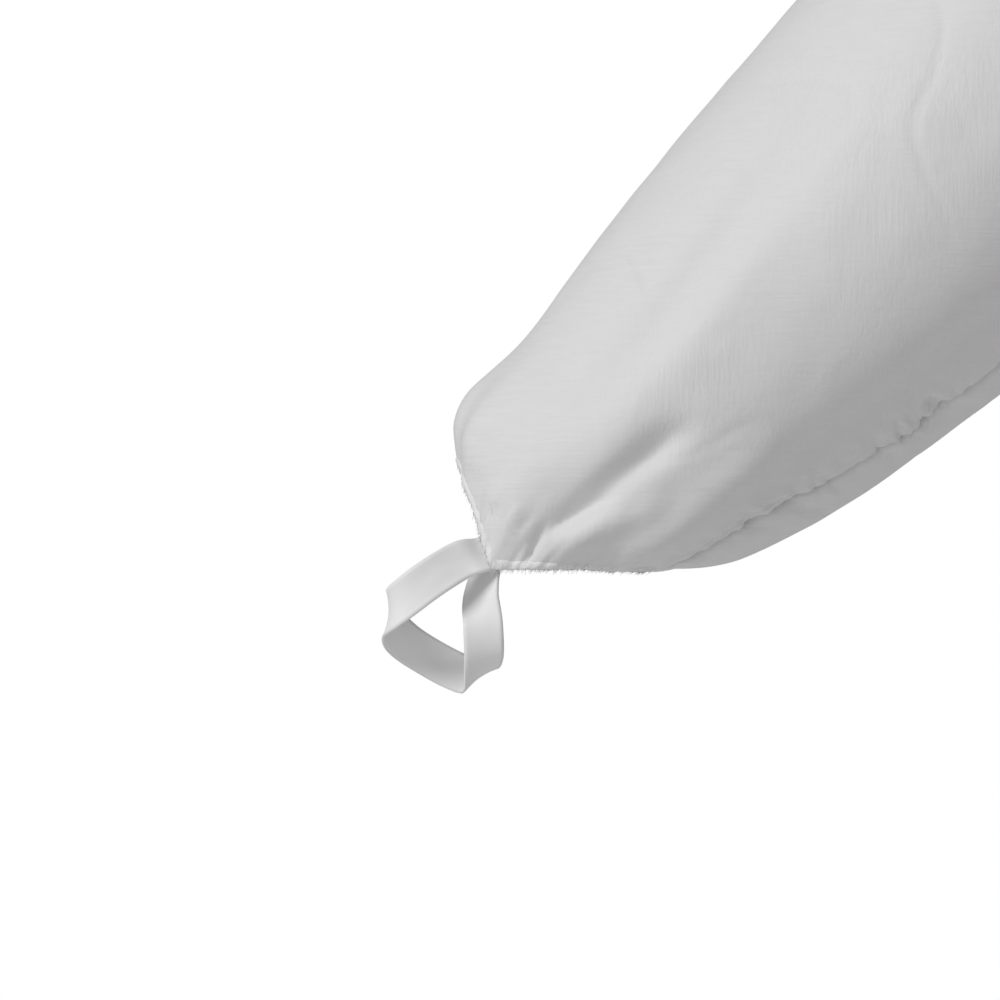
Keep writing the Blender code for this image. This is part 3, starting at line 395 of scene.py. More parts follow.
def fold_line(start, end, bow, width, depth, power):
    """A fold between two points of a surface laid flat."""
    run, rise = end[0] - start[0], end[1] - start[1]
    length = hypot(run, rise)
    return FoldLine(*start, run / length, rise / length, length, bow, width, depth, power)


def fold_heights(along, across, lines):
    """Sum of the folds at a point: each is full on its line and fades to its sides and its two ends."""
    total = 0.0
    for line in lines:
        far, aside = along - line.along, across - line.across
        t = (far * line.unit_along + aside * line.unit_across) / line.length
        if 0 < t < 1:
            off = far * line.unit_across - aside * line.unit_along - line.bow * 4 * t * (1 - t)
            share = abs(off) / line.width
            if share < FOLD_REACH:
                height = line.depth * exp(-share**line.power)
                total += height * ease(t / FOLD_FADE) * ease((1 - t) / FOLD_FADE)
    return total


def crease_web(place, size, narrow):
    """Thin lines where a slow noise passes through zero, present in patches only: 0 to 1."""
    wave = noise.noise(place / size)
    patch = ease(noise.noise(place / (size * 2.6) + Vector((7.1, 3.3, 9.7))) * 3.0)
    return exp(-(wave / narrow) ** 2) * patch


def seam_height(distance, along, groove, pucker, width=0.0012):
    """A sewn seam: a narrow groove, with short uneven puckers to both sides."""
    uneven = 0.55 + 1.1 * noise.noise(Vector((along * 55, 3.1, 0.4)))
    wave = 0.7 * noise.noise(Vector((along * 210 + distance * 60, distance * 90, 4.2)))
    wave += noise.noise(Vector((along * 390 - distance * 90, distance * 160, 8.8)))
    patch = 0.35 + 1.3 * ease(noise.noise(Vector((along * 32, 1.3, 6.2))) * 2 + 0.4)
    sewn = -groove * uneven * bump_at(distance, width)
    return sewn + pucker * wave * patch * bump_at(distance, PUCKER_REACH)


# ---- Body


def oval_point(section, angle, relief=0.0):
    """Point of a section's oval, which turns from the inside (0) over the front (90) and the side (180) to
    the back (270)."""
    lobe = getattr(section, "lobe", 0.0)
    depth = section.front if sin(angle) > 0 else section.back
    out = Vector((-cos(angle) / section.half_width, -sin(angle) / depth, 0)).normalized()
    flat = Vector((lobe - section.half_width * cos(angle), -depth * sin(angle), section.height))
    return flat + out * relief


BodyRow = namedtuple("BodyRow", "place section reach lines")


def body_row(place):
    """A row of the body: its section, and the folds that reach it."""
    section = section_at(BODY_SECTIONS, place)
    reach = (section.half_width + section.front) / 2
    lines = []
    for fold in BODY_FOLDS + FINE_BODY_FOLDS:
        low, high = sorted((fold.from_height, fold.to_height))
        if low - 4 * fold.width < section.height < high + 4 * fold.width:
            start = (radians(fold.from_turn) * reach, fold.from_height)
            end = (radians(fold.to_turn) * reach, fold.to_height)
            depth = fold.depth * (FINE_DEPTH if fold.power < 2 else 1)
            lines.append(fold_line(start, end, 0.0, fold.width, depth, fold.power))
    return BodyRow(place, section, reach, lines)


def body_relief(angle, row, side, start):
    """Height of the cloth over the body's plain oval: folds, swells, creases, gathers and seams."""
    section, height = row.section, row.section.height
    waist = height - BODY_SECTIONS[WAIST].height
    ankle = height - BODY_SECTIONS[ANKLE_TOP].height
    relief = WAIST_WAVE_DEPTH * cos(WAIST_WAVES * angle) * bump_at(waist, WAIST_WAVE_REACH)
    relief += ANKLE_WAVE_DEPTH * cos(ANKLE_WAVES * angle) * bump_at(ankle, ANKLE_WAVE_REACH)
    relief += fold_heights(angle * row.reach, height, row.lines)
    plain = oval_point(section, angle)
    spot = Vector((plain.x * side, plain.y, plain.z))
    relief += SLOW_SWELL * noise.noise(Vector((spot.x * 9 + 2.5, spot.y * 9, spot.z * 6)))
    relief += FAST_SWELL * noise.noise(spot * 26)
    relief -= WIDE_CREASE * crease_web(spot, size=0.085, narrow=0.06)
    relief -= NARROW_CREASE * crease_web(spot, size=0.034, narrow=0.09)
    gather = noise.noise(Vector((angle * 14 + side * 3, height * 9, 1.0)))
    relief += gather * (WAIST_GATHER * bump_at(waist, 0.024) + ANKLE_GATHER * bump_at(ankle, 0.020))
    fine = noise.noise(Vector((angle * 44 + side * 5, height * 40, 2.0)))
    relief += FINE_GATHER * fine * (bump_at(waist, 0.012) + bump_at(ankle, 0.012))
    relief -= WAIST_GROOVE * bump_at(waist, 0.0030)
    turn = angle if angle <= pi else 2 * pi - angle
    relief += seam_height((pi - turn) * row.reach, height, SEAM_GROOVE, SEAM_PUCKER)
    if angle > pi or row.place < ZIP_FOOT:
        relief += seam_height((turn - start) * row.reach, height, SEAM_GROOVE, SEAM_PUCKER)
    if sin(angle) > 0:
        middle = section.lobe - section.half_width * cos(angle)
        relief *= ease((middle - FLAT_BY_ZIP) / FLAT_BY_ZIP)
    return relief


def body_point(angle, row, side, start):
    """The outer point of one half of the body; start is the angle at which the half begins, at the zip or
    the seam in the middle."""
    return oval_point(row.section, angle, body_relief(angle, row, side, start))


def start_angle(lobe, half_width, edge):
    """Angle at which an oval starts, at a distance from the middle plane."""
    return acos(clamp((lobe - edge) / half_width, MOST_CUT_OFF, 1))


def closer_at_ends(t, share):
    """A share along a row of columns, with closer columns at both ends."""
    return t * (1 - share) + share * (1 - cos(pi * t)) / 2


def body_panel_point(front, side, columns, rows):
    """The function that gives a body panel's point at a column and row."""
    def point(column, row):
        line = rows[row]
        section = line.section
        edge = SLOT_HALF_WIDTH if front and line.place >= ZIP_FOOT else 0.0
        start = start_angle(section.lobe, section.half_width, edge)
        turn = start + (pi - start) * closer_at_ends(column / columns, 0.55)
        made = body_point(turn if front else 2 * pi - turn, line, side, start)
        made.x = max(made.x, edge)
        return Vector((made.x * side, made.y, made.z))
    return point


# ---- Sleeve


def corner_pull(angle):
    """How far the thumb loop draws the rim down, at an angle round the cuff."""
    if sin(angle) <= 0:
        return 0.0
    place, corner = cos(angle), cos(CORNER_TURN)
    if place > corner:
        return CORNER_PULL * (1 - place) / (1 - corner)
    return CORNER_PULL * (1 + place) / (1 + corner)


def arm_point(along, across, forward):
    """A point of the right arm from its places up the arm's line, across it and towards the front."""
    up_arm = Vector((cos(ARM_SLOPE), 0, sin(ARM_SLOPE)))
    upward = Vector((-sin(ARM_SLOPE), 0, cos(ARM_SLOPE)))
    lean = CUFF_CENTRE.y * (1 - along / ARM_LENGTH)
    start = Vector((CUFF_CENTRE.x, lean, CUFF_CENTRE.z))
    return start + up_arm * along + upward * across + Vector((0, -forward, 0))


def seam_turn(along):
    """Angle of the sleeve's seam, from the underside at the armhole forward to the cuff."""
    t = ease((along - SEAM_TURN_START) / (SEAM_TURN_END - SEAM_TURN_START))
    wander = 0.075 * bump_at(along - 0.088, 0.030) - 0.070 * bump_at(along - 0.026, 0.018)
    return SEAM_AT_CUFF + (SEAM_AT_SHOULDER - SEAM_AT_CUFF) * t + wander


SLEEVE_LINES = [
    fold_line((f.from_along, f.from_across), (f.to_along, f.to_across), f.bow, f.width, f.depth, f.power)
    for f in SLEEVE_FOLDS + FINE_SLEEVE_FOLDS
]


def sleeve_detail(angle, section, reach, along, across, spot):
    """Height of the sleeve's finest relief: swells, creases, the crumples by the loop, and the seam."""
    far = ease((section.along - CALM_UP_TO) / CALM_FADE)
    relief = between(0.0004, 0.0014, far) * noise.noise(spot * 24)
    relief += 0.00022 * noise.noise(spot * 85) * (1 + noise.noise(spot * 14))
    relief -= between(0.00025, 0.00095, far) * crease_web(spot, size=0.030, narrow=0.05)
    relief -= 0.0010 * far * crease_web(spot, size=0.075, narrow=0.05)
    near_rim = exp(-max(section.along, 0) / RIM_FADE)
    relief += 0.0006 * near_rim * noise.noise(Vector((angle * 16, section.along * 60, 3.0)))
    relief += 0.0003 * near_rim * noise.noise(Vector((angle * 52, section.along * 140, 6.0)))
    crumple = noise.noise(spot * 270) + 0.7 * noise.noise(spot * 420)
    relief += KNOT_DEPTH * crumple * bump_at(hypot(along - KNOT_ALONG, across - KNOT_ACROSS), KNOT_REACH)
    from_seam = (seam_turn(section.along) - (angle if angle > 0 else angle + 2 * pi)) * reach
    soft = ease((section.along - SHARP_UP_TO) / SHARP_FADE)
    relief += seam_height(from_seam, section.along, groove=between(0.0008, 0.0003, soft),
                          pucker=between(0.0007, 0.0013, soft), width=between(0.0010, 0.0032, soft))
    felled = ease(section.along / 0.01) * between(1, 0.3, soft)
    return relief - BAND_GROOVE * bump_at(from_seam - BAND_AT, BAND_WIDTH) * felled


def sleeve_surface(angle, section, detail=True):
    """The right sleeve, from its upper edge (0) over the front (90) to its underside (180) and back."""
    reach = section.upper if cos(angle) > 0 else section.lower
    depth = section.front if sin(angle) > 0 else section.back
    pull = corner_pull(angle) * exp(-max(section.along, 0) / CORNER_PULL_REACH)
    along = section.along + section.tilt * cos(angle) + PULL_ALONG * pull
    across = reach * cos(angle) + PULL_ACROSS * pull
    relief = CUFF_WAVE_DEPTH * cos(CUFF_WAVES * angle) * bump_at(
        section.along - SLEEVE_SECTIONS[2].along, CUFF_WAVE_REACH)
    share = ease(sin(angle) * 3) + BACK_FOLD_SHARE * ease(-sin(angle) * 3)
    relief += share * fold_heights(along, across, SLEEVE_LINES)
    if detail:
        spot = arm_point(along, across, depth * sin(angle))
        relief += sleeve_detail(angle, section, reach, along, across, spot)
    out = Vector((cos(angle) / reach, sin(angle) / depth)).normalized() * relief
    return arm_point(along, across + out.x, depth * sin(angle) + out.y)


def body_inside(point):
    """Below 0 inside the body's outer surface at a point of the right sleeve, and above 0 outside it."""
    section = section_at(BODY_SECTIONS, place_of(BODY_SECTIONS, point.z))
    depth = section.front if point.y < 0 else section.back
    return ((-point.x - section.lobe) / section.half_width) ** 2 + (point.y / depth) ** 2 - 1


def sleeve_end(angle):
    """Length up the arm at which the sleeve's line at an angle meets the body."""
    low, high = float(SLEEVE_HEAD_FIRST), float(SLEEVE_HEAD_LAST)
    for _ in range(14):
        middle = (low + high) / 2
        if body_inside(sleeve_surface(angle, section_at(SLEEVE_SECTIONS, middle), detail=False)) > 0:
            low = middle
        else:
            high = middle
    return section_at(SLEEVE_SECTIONS, low).along + SLEEVE_TUCK


SleeveGrid = namedtuple("SleeveGrid", "front_columns back_columns near_step far_step")


def sleeve_angle(share, front_share, seam):
    """Angle at a share of the way round from the seam: over the front first, with closer columns by the
    seam, then over the back."""
    if share <= front_share:
        t = share / front_share
        return seam * (1 - (0.4 * t + 0.6 * t * t))
    return -(2 * pi - seam) * (share - front_share) / (1 - front_share)


def mirrored(point, side):
    """A point of the right arm (side -1), or its mirror on the left (side 1)."""
    return Vector((-side * point.x, point.y, point.z))


# ---- Hood


def hood_surface(angle, section, side=1):
    """The left half of the hood."""
    point = oval_point(section, angle)
    turn = Vector((point.x / FACE_HALF_WIDTH, (point.z - FACE_CENTRE) / FACE_HALF_HEIGHT))
    if turn.length > FACE_MIDDLE and point.y < 0:
        beyond = (turn.length - 1) * FACE_HALF_HEIGHT
        around = turn.angle_signed(Vector((0, 1)))
        fade = ease(-point.y / FACE_WAVE_SIDE_FADE)
        point.y -= FACE_WAVE_DEPTH * cos(FACE_WAVES * around) * bump_at(beyond, FACE_WAVE_REACH) * fade
        fine = noise.noise(Vector((around * 17, beyond * 30, side * 2.0)))
        point.y -= 0.0014 * fine * bump_at(beyond, 0.014) * fade
    return point


def hood_relief(point, side):
    """Height of the hood's swells, creases and seam at the back."""
    spot = Vector((point.x * side, point.y, point.z))
    relief = 0.0020 * noise.noise(spot * 13) + 0.0007 * noise.noise(spot * 34)
    relief -= 0.0006 * crease_web(spot, 0.06, 0.05)
    if point.y > 0:
        relief += seam_height(point.x, point.z, SEAM_GROOVE, HOOD_PUCKER)
    return relief


def face_edge_x(height):
    """Distance from the middle plane to the hood's front edge: the zip's gap, the face, then the seam."""
    rise = (height - FACE_CENTRE) / FACE_HALF_HEIGHT
    if rise <= -1:
        return SLOT_HALF_WIDTH
    if rise >= 1:
        return 0.0
    least = SLOT_HALF_WIDTH if rise < 0 else 0.0
    return max(FACE_HALF_WIDTH * (1 - rise**2) ** 0.5, least)


def hood_sections():
    """The sections of the hood's rows: each step of HOOD_ROWS divided into equal parts."""
    places = [between(low, high, i / HOOD_ROW_PARTS)
              for low, high in zip(HOOD_ROWS, HOOD_ROWS[1:]) for i in range(HOOD_ROW_PARTS)]
    return [section_at(HOOD_SECTIONS, place) for place in places + [HOOD_ROWS[-1]]]


def hood_point(side, columns, sections):
    """The function that gives a point of a hood's half at a column and row."""
    def point(column, row):
        section = sections[row]
        edge = face_edge_x(section.height)
        start = start_angle(0, section.half_width, min(edge, section.half_width * 0.9))
        end = 2 * pi if section.half_width < 0.001 else 3 * pi / 2
        angle = start + (end - start) * closer_at_ends(column / columns, 0.4)
        made = hood_surface(angle, section, side)
        flat_by_face = ease(column / columns * 8)
        sideways = made.x / section.half_width**2 if section.half_width > 0.01 else 0
        out = Vector((sideways, made.y / 0.01, 0))
        if out.length > 0 and row < len(sections) - 1:
            made += out.normalized() * hood_relief(made, side) * flat_by_face
        made.x = max(made.x, min(edge, SLOT_HALF_WIDTH) if column == 0 else 0.0)
        return Vector((made.x * side, made.y, made.z))
    return point


# ---- Meshes and objects


def cloth_grid(columns, rows, point, closed=False):
    """A bmesh of a sheet over the places of its columns and rows, with its share of each as its UV."""
    mesh = bmesh.new()
    bmesh.ops.create_grid(mesh, x_segments=columns, y_segments=rows, size=0.5)
    uv = mesh.loops.layers.uv.new("UVMap")
    for face in mesh.faces:
        for loop in face.loops:
            loop[uv].uv = (loop.vert.co.x + 0.5, loop.vert.co.y + 0.5)
    seam = []
    for vert in mesh.verts:
        column = round((vert.co.x + 0.5) * columns)
        if closed and column in (0, columns):
            seam.append(vert)
        vert.co = point(column, round((vert.co.y + 0.5) * rows))
    if closed:
        bmesh.ops.remove_doubles(mesh, verts=seam, dist=0.00001)
    return mesh


def face_away(mesh, axis):
    """Turns a sheet so that its faces point away from an axis, a function from a point to the inside."""
    outward = sum((face.calc_center_median() - axis(face.calc_center_median())).dot(face.normal)
                  for face in mesh.faces)
    if outward < 0:
        bmesh.ops.reverse_faces(mesh, faces=mesh.faces[:])


def linked_object(name, mesh, smooth=False):
    """An object in the scene from a bmesh, which is freed."""
    data = bpy.data.meshes.new(name)
    mesh.to_mesh(data)
    mesh.free()
    if smooth:
        data.shade_smooth()
    made = bpy.data.objects.new(name, data)
    bpy.context.scene.collection.objects.link(made)
    return made


def new_piece(name, mesh, finish, smooth=True):
    """A piece of the garment from a bmesh, with its finish, parented to the garment's body."""
    mesh.normal_update()
    made = linked_object(name, mesh, smooth)
    made.data.materials.append(bpy.data.materials[finish])
    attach(made, GARMENT)
    return made


def give_wall(made, thickness):
    """A cloth's thickness, laid inward from its outer face."""
    wall = made.modifiers.new("wall", "SOLIDIFY")
    wall.thickness = thickness
    wall.offset = -1
    return wall


def bake_modifiers(made):
    """Leaves an object with the mesh that its modifiers give."""
    shown = made.evaluated_get(bpy.context.evaluated_depsgraph_get())
    data = bpy.data.meshes.new_from_object(shown)
    old = made.data
    made.modifiers.clear()
    made.data = data
    bpy.data.meshes.remove(old)
    data.name = made.name


def thread(mesh, start, end, radius, tip=1.0, sides=5):
    """A straight thread between two points, whose end may taper to a share of its radius."""
    line = end - start
    turn = line.to_track_quat("Z", "Y").to_matrix().to_4x4()
    bmesh.ops.create_cone(mesh, cap_ends=True, segments=sides, radius1=radius, radius2=radius * tip,
                          depth=line.length, matrix=Matrix.Translation((start + end) / 2) @ turn)


# ---- Settings


class CoverallSettings(bpy.types.PropertyGroup):
    cloth_wall: FloatProperty(
        name="Cloth thickness", description="Wall of the cloth pieces", default=0.0004, unit="LENGTH")
    cloth_colour: FloatVectorProperty(
        name="Cloth colour", description="Colour of the non-woven cloth", subtype="COLOR", size=3,
        default=(0.800, 0.800, 0.803), min=0, max=1)
    cloth_roughness: FloatProperty(
        name="Cloth roughness", description="Roughness of the cloth's soft sheen", default=0.58,
        subtype="FACTOR", min=0, max=1)
    thread_colour: FloatVectorProperty(
        name="Thread colour", description="Colour of the overlock thread and elastic", subtype="COLOR",
        size=3, default=(0.92, 0.92, 0.915), min=0, max=1)
    tape_colour: FloatVectorProperty(
        name="Tape colour", description="Colour of the thumb loops and zip tapes", subtype="COLOR",
        size=3, default=(0.96, 0.96, 0.96), min=0, max=1)
    nylon_colour: FloatVectorProperty(
        name="Zip colour", description="Colour of the zip's teeth, slider and pull", subtype="COLOR",
        size=3, default=(0.80, 0.80, 0.79), min=0, max=1)


class StitchSettings(bpy.types.PropertyGroup):
    overlock_count: IntProperty(
        name="Overlock stitches", description="Overlock stitches round each cuff", default=128, min=1)
    thread_radius: FloatProperty(
        name="Thread radius", description="Radius of the sewing thread", default=0.00015, unit="LENGTH")
    zip_stitch: FloatProperty(
        name="Zip stitch", description="Length of the stitches beside the zip", default=0.0028,
        unit="LENGTH")
    tooth_pitch: FloatProperty(
        name="Tooth pitch", description="Distance between the zip's teeth on one side", default=0.0018,
        unit="LENGTH")
    fringe_count: IntProperty(
        name="Fringe threads", description="Loose thread ends round each cuff", default=1000, min=0)


class StageSettings(bpy.types.PropertyGroup):
    key_power: FloatProperty(
        name="Key light", description="Power of the large soft light", default=66.0, unit="POWER")
    rim_power: FloatProperty(
        name="Back light", description="Power of the soft light behind", default=16.0, unit="POWER")
    surround: FloatProperty(
        name="Surround", description="Brightness of the even light all round", default=0.32, min=0)
    floor_colour: FloatVectorProperty(
        name="Floor colour", description="Colour of the pale floor", subtype="COLOR", size=3,
        default=(0.93, 0.93, 0.93), min=0, max=1)


# ---- Finishes


def new_group(name, inputs, outputs):
    """A shader node group with its sockets, and its input and output nodes."""
    group = bpy.data.node_groups.new(name, "ShaderNodeTree")
    group.interface.new_socket(name="Vector", in_out="INPUT", socket_type="NodeSocketVector")
    for socket, value in inputs.items():
        made = group.interface.new_socket(name=socket, in_out="INPUT", socket_type="NodeSocketFloat")
        made.default_value = value
    for socket in outputs:
        group.interface.new_socket(name=socket, in_out="OUTPUT", socket_type="NodeSocketFloat")
    return group, group.nodes.new("NodeGroupInput"), group.nodes.new("NodeGroupOutput")


def add_node(tree, kind, values):
    """A new shader node, with values for its named inputs."""
    node = tree.nodes.new(f"ShaderNode{kind}")
    for name, value in values.items():
        node.inputs[name].default_value = value
    return node


def streak_group():
    """Fine uneven streaks both ways, as pressed into the cloth: a height, and from it a painted shade from
    0 to 1, light on the raised streaks and dark in their hollows.
    """
    group, given, result = new_group(
        "linen_streaks", {"Length": 110.0, "Fineness": 1300.0}, ("Height", "Tone"))
    nodes, links = group.nodes, group.links

    def streaks(axes):
        scale = add_node(group, "CombineXYZ", {})
        for socket, source in zip(scale.inputs, axes):
            links.new(given.outputs[source], socket)
        stretched = add_node(group, "VectorMath", {})
        stretched.operation = "MULTIPLY"
        links.new(given.outputs["Vector"], stretched.inputs[0])
        links.new(scale.outputs[0], stretched.inputs[1])
        made = add_node(group, "TexNoise", {"Scale": 1.0, "Detail": 3.0, "Roughness": 0.6})
        links.new(stretched.outputs[0], made.inputs["Vector"])
        return made
    level = streaks(("Length", "Length", "Fineness"))
    upright = streaks(("Fineness", "Fineness", "Length"))
    patch = add_node(group, "TexNoise", {"Scale": 17.0, "Detail": 2.0})
    links.new(given.outputs["Vector"], patch.inputs["Vector"])
    spread = add_node(group, "MapRange", {"From Min": 0.45, "From Max": 0.66})
    links.new(patch.outputs["Fac"], spread.inputs["Value"])
    mix = nodes.new("ShaderNodeMix")
    links.new(spread.outputs["Result"], mix.inputs["Factor"])
    links.new(level.outputs["Fac"], mix.inputs["A"])
    links.new(upright.outputs["Fac"], mix.inputs["B"])
    links.new(mix.outputs["Result"], result.inputs["Height"])
    # painted shade: the streaks' height, mapped to a value that darkens the cloth in their hollows
    painted_streak_shade = add_node(group, "MapRange", {"From Min": 0.3, "From Max": 0.75})
    links.new(mix.outputs["Result"], painted_streak_shade.inputs["Value"])
    links.new(painted_streak_shade.outputs["Result"], result.inputs["Tone"])


def crumple_group():
    """Soft shallow crumples: a height."""
    group, given, result = new_group("soft_crumples", {"Scale": 60.0}, ("Height",))
    slow = add_node(group, "TexNoise", {"Detail": 4.0, "Roughness": 0.45, "Distortion": 0.8})
    for name in ("Vector", "Scale"):
        group.links.new(given.outputs[name], slow.inputs[name])
    group.links.new(slow.outputs["Fac"], result.inputs["Height"])


def principled(name, colour, roughness):
    """A new material with its shader and Object coordinates."""
    made = bpy.data.materials.new(name)
    made.use_nodes = True
    shader = made.node_tree.nodes["Principled BSDF"]
    shader.inputs["Base Color"].default_value = (*colour, 1)
    shader.inputs["Roughness"].default_value = roughness
    place = made.node_tree.nodes.new("ShaderNodeTexCoord")
    return made, shader, place


def add_group(made, group, place, **values):
    """A material's own copy of a node group, on Object coordinates."""
    node = made.node_tree.nodes.new("ShaderNodeGroup")
    node.node_tree = bpy.data.node_groups[group]
    made.node_tree.links.new(place.outputs["Object"], node.inputs["Vector"])
    for name, value in values.items():
        node.inputs[name].default_value = value
    return node


def add_bump(made, shader, height, strength, distance, before=None):
    """Gives a material's shader a bump from a height, over an earlier bump if there is one."""
    bump = add_node(made.node_tree, "Bump", {"Strength": strength, "Distance": distance})
    made.node_tree.links.new(height, bump.inputs["Height"])
    if before:
        made.node_tree.links.new(before.outputs["Normal"], bump.inputs["Normal"])
    made.node_tree.links.new(bump.outputs["Normal"], shader.inputs["Normal"])
    return bump


def tinted(made, shader, mask, low, high):
    """Lets a mask move a material's colour between two."""
    mix = made.node_tree.nodes.new("ShaderNodeMix")
    mix.data_type = "RGBA"
    mix.inputs["A"].default_value = (*low, 1)
    mix.inputs["B"].default_value = (*high, 1)
    made.node_tree.links.new(mask, mix.inputs["Factor"])
    made.node_tree.links.new(mix.outputs["Result"], shader.inputs["Base Color"])


def darker(colour, share):
    return tuple(value * share for value in colour)


def cloth_finish():
    """White non-woven cloth: soft sheen, pressed streaks with painted shade in their hollows, and shallow
    crumples.
    """
    settings = bpy.context.scene.coverall
    colour = tuple(settings.cloth_colour)
    made, shader, place = principled(CLOTH, colour, settings.cloth_roughness)
    shader.inputs["Specular IOR Level"].default_value = 0.3
    shader.inputs["Sheen Weight"].default_value = 0.06
    shader.inputs["Sheen Roughness"].default_value = 0.5
    crumple = add_group(made, "soft_crumples", place, Scale=70.0)
    streaks = add_group(made, "linen_streaks", place, Length=110.0, Fineness=1200.0)
    below = add_bump(made, shader, crumple.outputs["Height"], 0.22, 0.0016)
    add_bump(made, shader, streaks.outputs["Height"], 0.55, 0.0003, below)
    # painted shade: the cloth's colour is 5% darker in the streaks' hollows and full on their raised lines
    tinted(made, shader, streaks.outputs["Tone"], darker(colour, 0.95), colour)


def grained_finish(name, colour, roughness, grain, strength, distance, shade):
    """A plain finish with an even grain, and painted shade that darkens its hollows by a share."""
    made, shader, place = principled(name, tuple(colour), roughness)
    height = add_group(made, "soft_crumples", place, Scale=grain).outputs["Height"]
    add_bump(made, shader, height, strength, distance)
    # painted shade: the grain's hollows are darkened to the share given as shade
    tinted(made, shader, height, darker(colour, shade), tuple(colour))


def tape_finish(name, ribs_along, ribs_across):
    """Flat woven tape: fine ribs both ways on its UV, with painted shade between the ribs."""
    colour = tuple(bpy.context.scene.coverall.tape_colour)
    made, shader, place = principled(name, colour, 0.62)
    tree, links = made.node_tree, made.node_tree.links
    scale = add_node(tree, "Mapping", {"Scale": (ribs_across, ribs_along, 1)})
    links.new(place.outputs["UV"], scale.inputs["Vector"])
    weave = add_node(tree, "Math", {})
    weave.operation = "MULTIPLY"
    for direction, socket in zip(("X", "Y"), weave.inputs):
        wave = add_node(tree, "TexWave", {"Scale": 1.0, "Distortion": 0.6, "Detail": 1.0})
        wave.bands_direction = direction
        links.new(scale.outputs["Vector"], wave.inputs["Vector"])
        links.new(wave.outputs["Fac"], socket)
    add_bump(made, shader, weave.outputs["Value"], 0.25, 0.00012)
    # painted shade: the tape is 4.5% darker where the ribs' height is low
    tinted(made, shader, weave.outputs["Value"], darker(colour, 0.955), colour)


class COVERALL_OT_finishes(bpy.types.Operator):
    """Makes the cloth, thread, tape and nylon finishes, and puts them on the zip's own solids"""
    bl_idname = "coverall.finishes"
    bl_label = "Finishes"

    def execute(self, context):
        settings = context.scene.coverall
        streak_group()
        crumple_group()
        cloth_finish()
        grained_finish(THREAD, settings.thread_colour, 0.85, grain=1500.0, strength=0.7, distance=0.0003,
                       shade=0.88)
        grained_finish(NYLON, settings.nylon_colour, 0.38, grain=900.0, strength=0.12, distance=0.0002,
                       shade=0.96)
        tape_finish(LOOP_TAPE, 190, 14)
        tape_finish(ZIP_TAPE, 500, 12)
        for name, finish in (("zip_tape_left", ZIP_TAPE), ("zip_tape_right", ZIP_TAPE),
                             ("zip_slider", NYLON), ("zip_pull", NYLON)):
            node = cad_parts[name]
            node.data.materials.clear()
            node.data.materials.append(bpy.data.materials[finish])
        return {"FINISHED"}


# ---- Pieces


def body_row_step(height):
    """Distance between the body's rows: closer at the gathered waist and ankles."""
    near = bump_at(height + 0.43, 0.05) + bump_at(height + 1.40, 0.05)
    return 0.0052 - 0.0024 * min(near, 1)


def armhole_cutter(side):
    """A closed tool in the form of a sleeve's inside, from beyond the armhole into the body."""
    columns, rows = 72, 28

    def point(column, row):
        place = between(SLEEVE_HEAD_FIRST + 1, SLEEVE_HEAD_LAST, row / rows)
        section = section_at(SLEEVE_SECTIONS, place)
        slim = section._replace(upper=section.upper - HOLE_TUCK, lower=section.lower - HOLE_TUCK,
                                front=section.front - HOLE_TUCK, back=section.back - HOLE_TUCK)
        return mirrored(sleeve_surface(2 * pi * column / columns, slim, detail=False), side)
    mesh = cloth_grid(columns, rows, point, closed=True)
    bmesh.ops.holes_fill(mesh, edges=mesh.edges, sides=0)
    bmesh.ops.recalc_face_normals(mesh, faces=mesh.faces)
    return linked_object("armhole_tool", mesh)


class COVERALL_OT_fronts_backs(bpy.types.Operator):
    """Makes the four panels of the body, each from the neck to the ankle, with their armholes"""
    bl_idname = "coverall.fronts_backs"
    bl_label = "Fronts and backs"

    def execute(self, context):
        places = row_places(BODY_SECTIONS, ANKLE_TOP - 0.1, NECK, body_row_step)
        rows = [body_row(place) for place in places]
        for word, side in SIDES:
            cutter = armhole_cutter(side)
            for front, name in ((True, "front"), (False, "back")):
                point = body_panel_point(front, side, BODY_GRID_COLUMNS, rows)
                mesh = cloth_grid(BODY_GRID_COLUMNS, len(rows) - 1, point)
                face_away(mesh, lambda p: Vector((
                    BODY_AXIS_X * side if p.z < CROTCH_HEIGHT else 0, 0, p.z)))
                panel = new_piece(f"{name}_{word}_cloth", mesh, CLOTH)
                give_wall(panel, context.scene.coverall.cloth_wall)
                hole = panel.modifiers.new("armhole", "BOOLEAN")
                hole.operation = "DIFFERENCE"
                hole.solver = "EXACT"
                hole.object = cutter
                bake_modifiers(panel)
                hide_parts(f"{name}_{word}")
            bpy.data.objects.remove(cutter)
        return {"FINISHED"}


def sleeve_piece(word, side, grid):
    """One sleeve, its rows close at the cuff and ending all round where the sleeve meets the body."""
    columns = grid.front_columns + grid.back_columns
    front_share = grid.front_columns / columns
    last = place_of(SLEEVE_SECTIONS, SLEEVE_NOMINAL_END)

    def step(along):
        return between(grid.near_step, grid.far_step, ease((along - 0.13) / 0.08))
    places = row_places(SLEEVE_SECTIONS, SLEEVE_START, last, step)
    sections = [section_at(SLEEVE_SECTIONS, place) for place in places]
    ends = [sleeve_end(sleeve_angle(column / columns, front_share, SEAM_AT_SHOULDER))
            for column in range(columns + 1)]

    def point(column, row):
        section = sections[row]
        if section.along > SLEEVE_FIXED:
            share = (section.along - SLEEVE_FIXED) / (SLEEVE_NOMINAL_END - SLEEVE_FIXED)
            along = between(SLEEVE_FIXED, ends[column], share)
            section = section_at(SLEEVE_SECTIONS, place_of(SLEEVE_SECTIONS, along))
        angle = sleeve_angle(column / columns, front_share, seam_turn(section.along))
        return mirrored(sleeve_surface(angle, section), side)
    mesh = cloth_grid(columns, len(places) - 1, point)
    face_away(mesh, lambda p: mirrored(
        arm_point((abs(p.x) - abs(CUFF_CENTRE.x)) / -cos(ARM_SLOPE), 0, 0), side))
    return new_piece(f"sleeve_{word}_cloth", mesh, CLOTH)


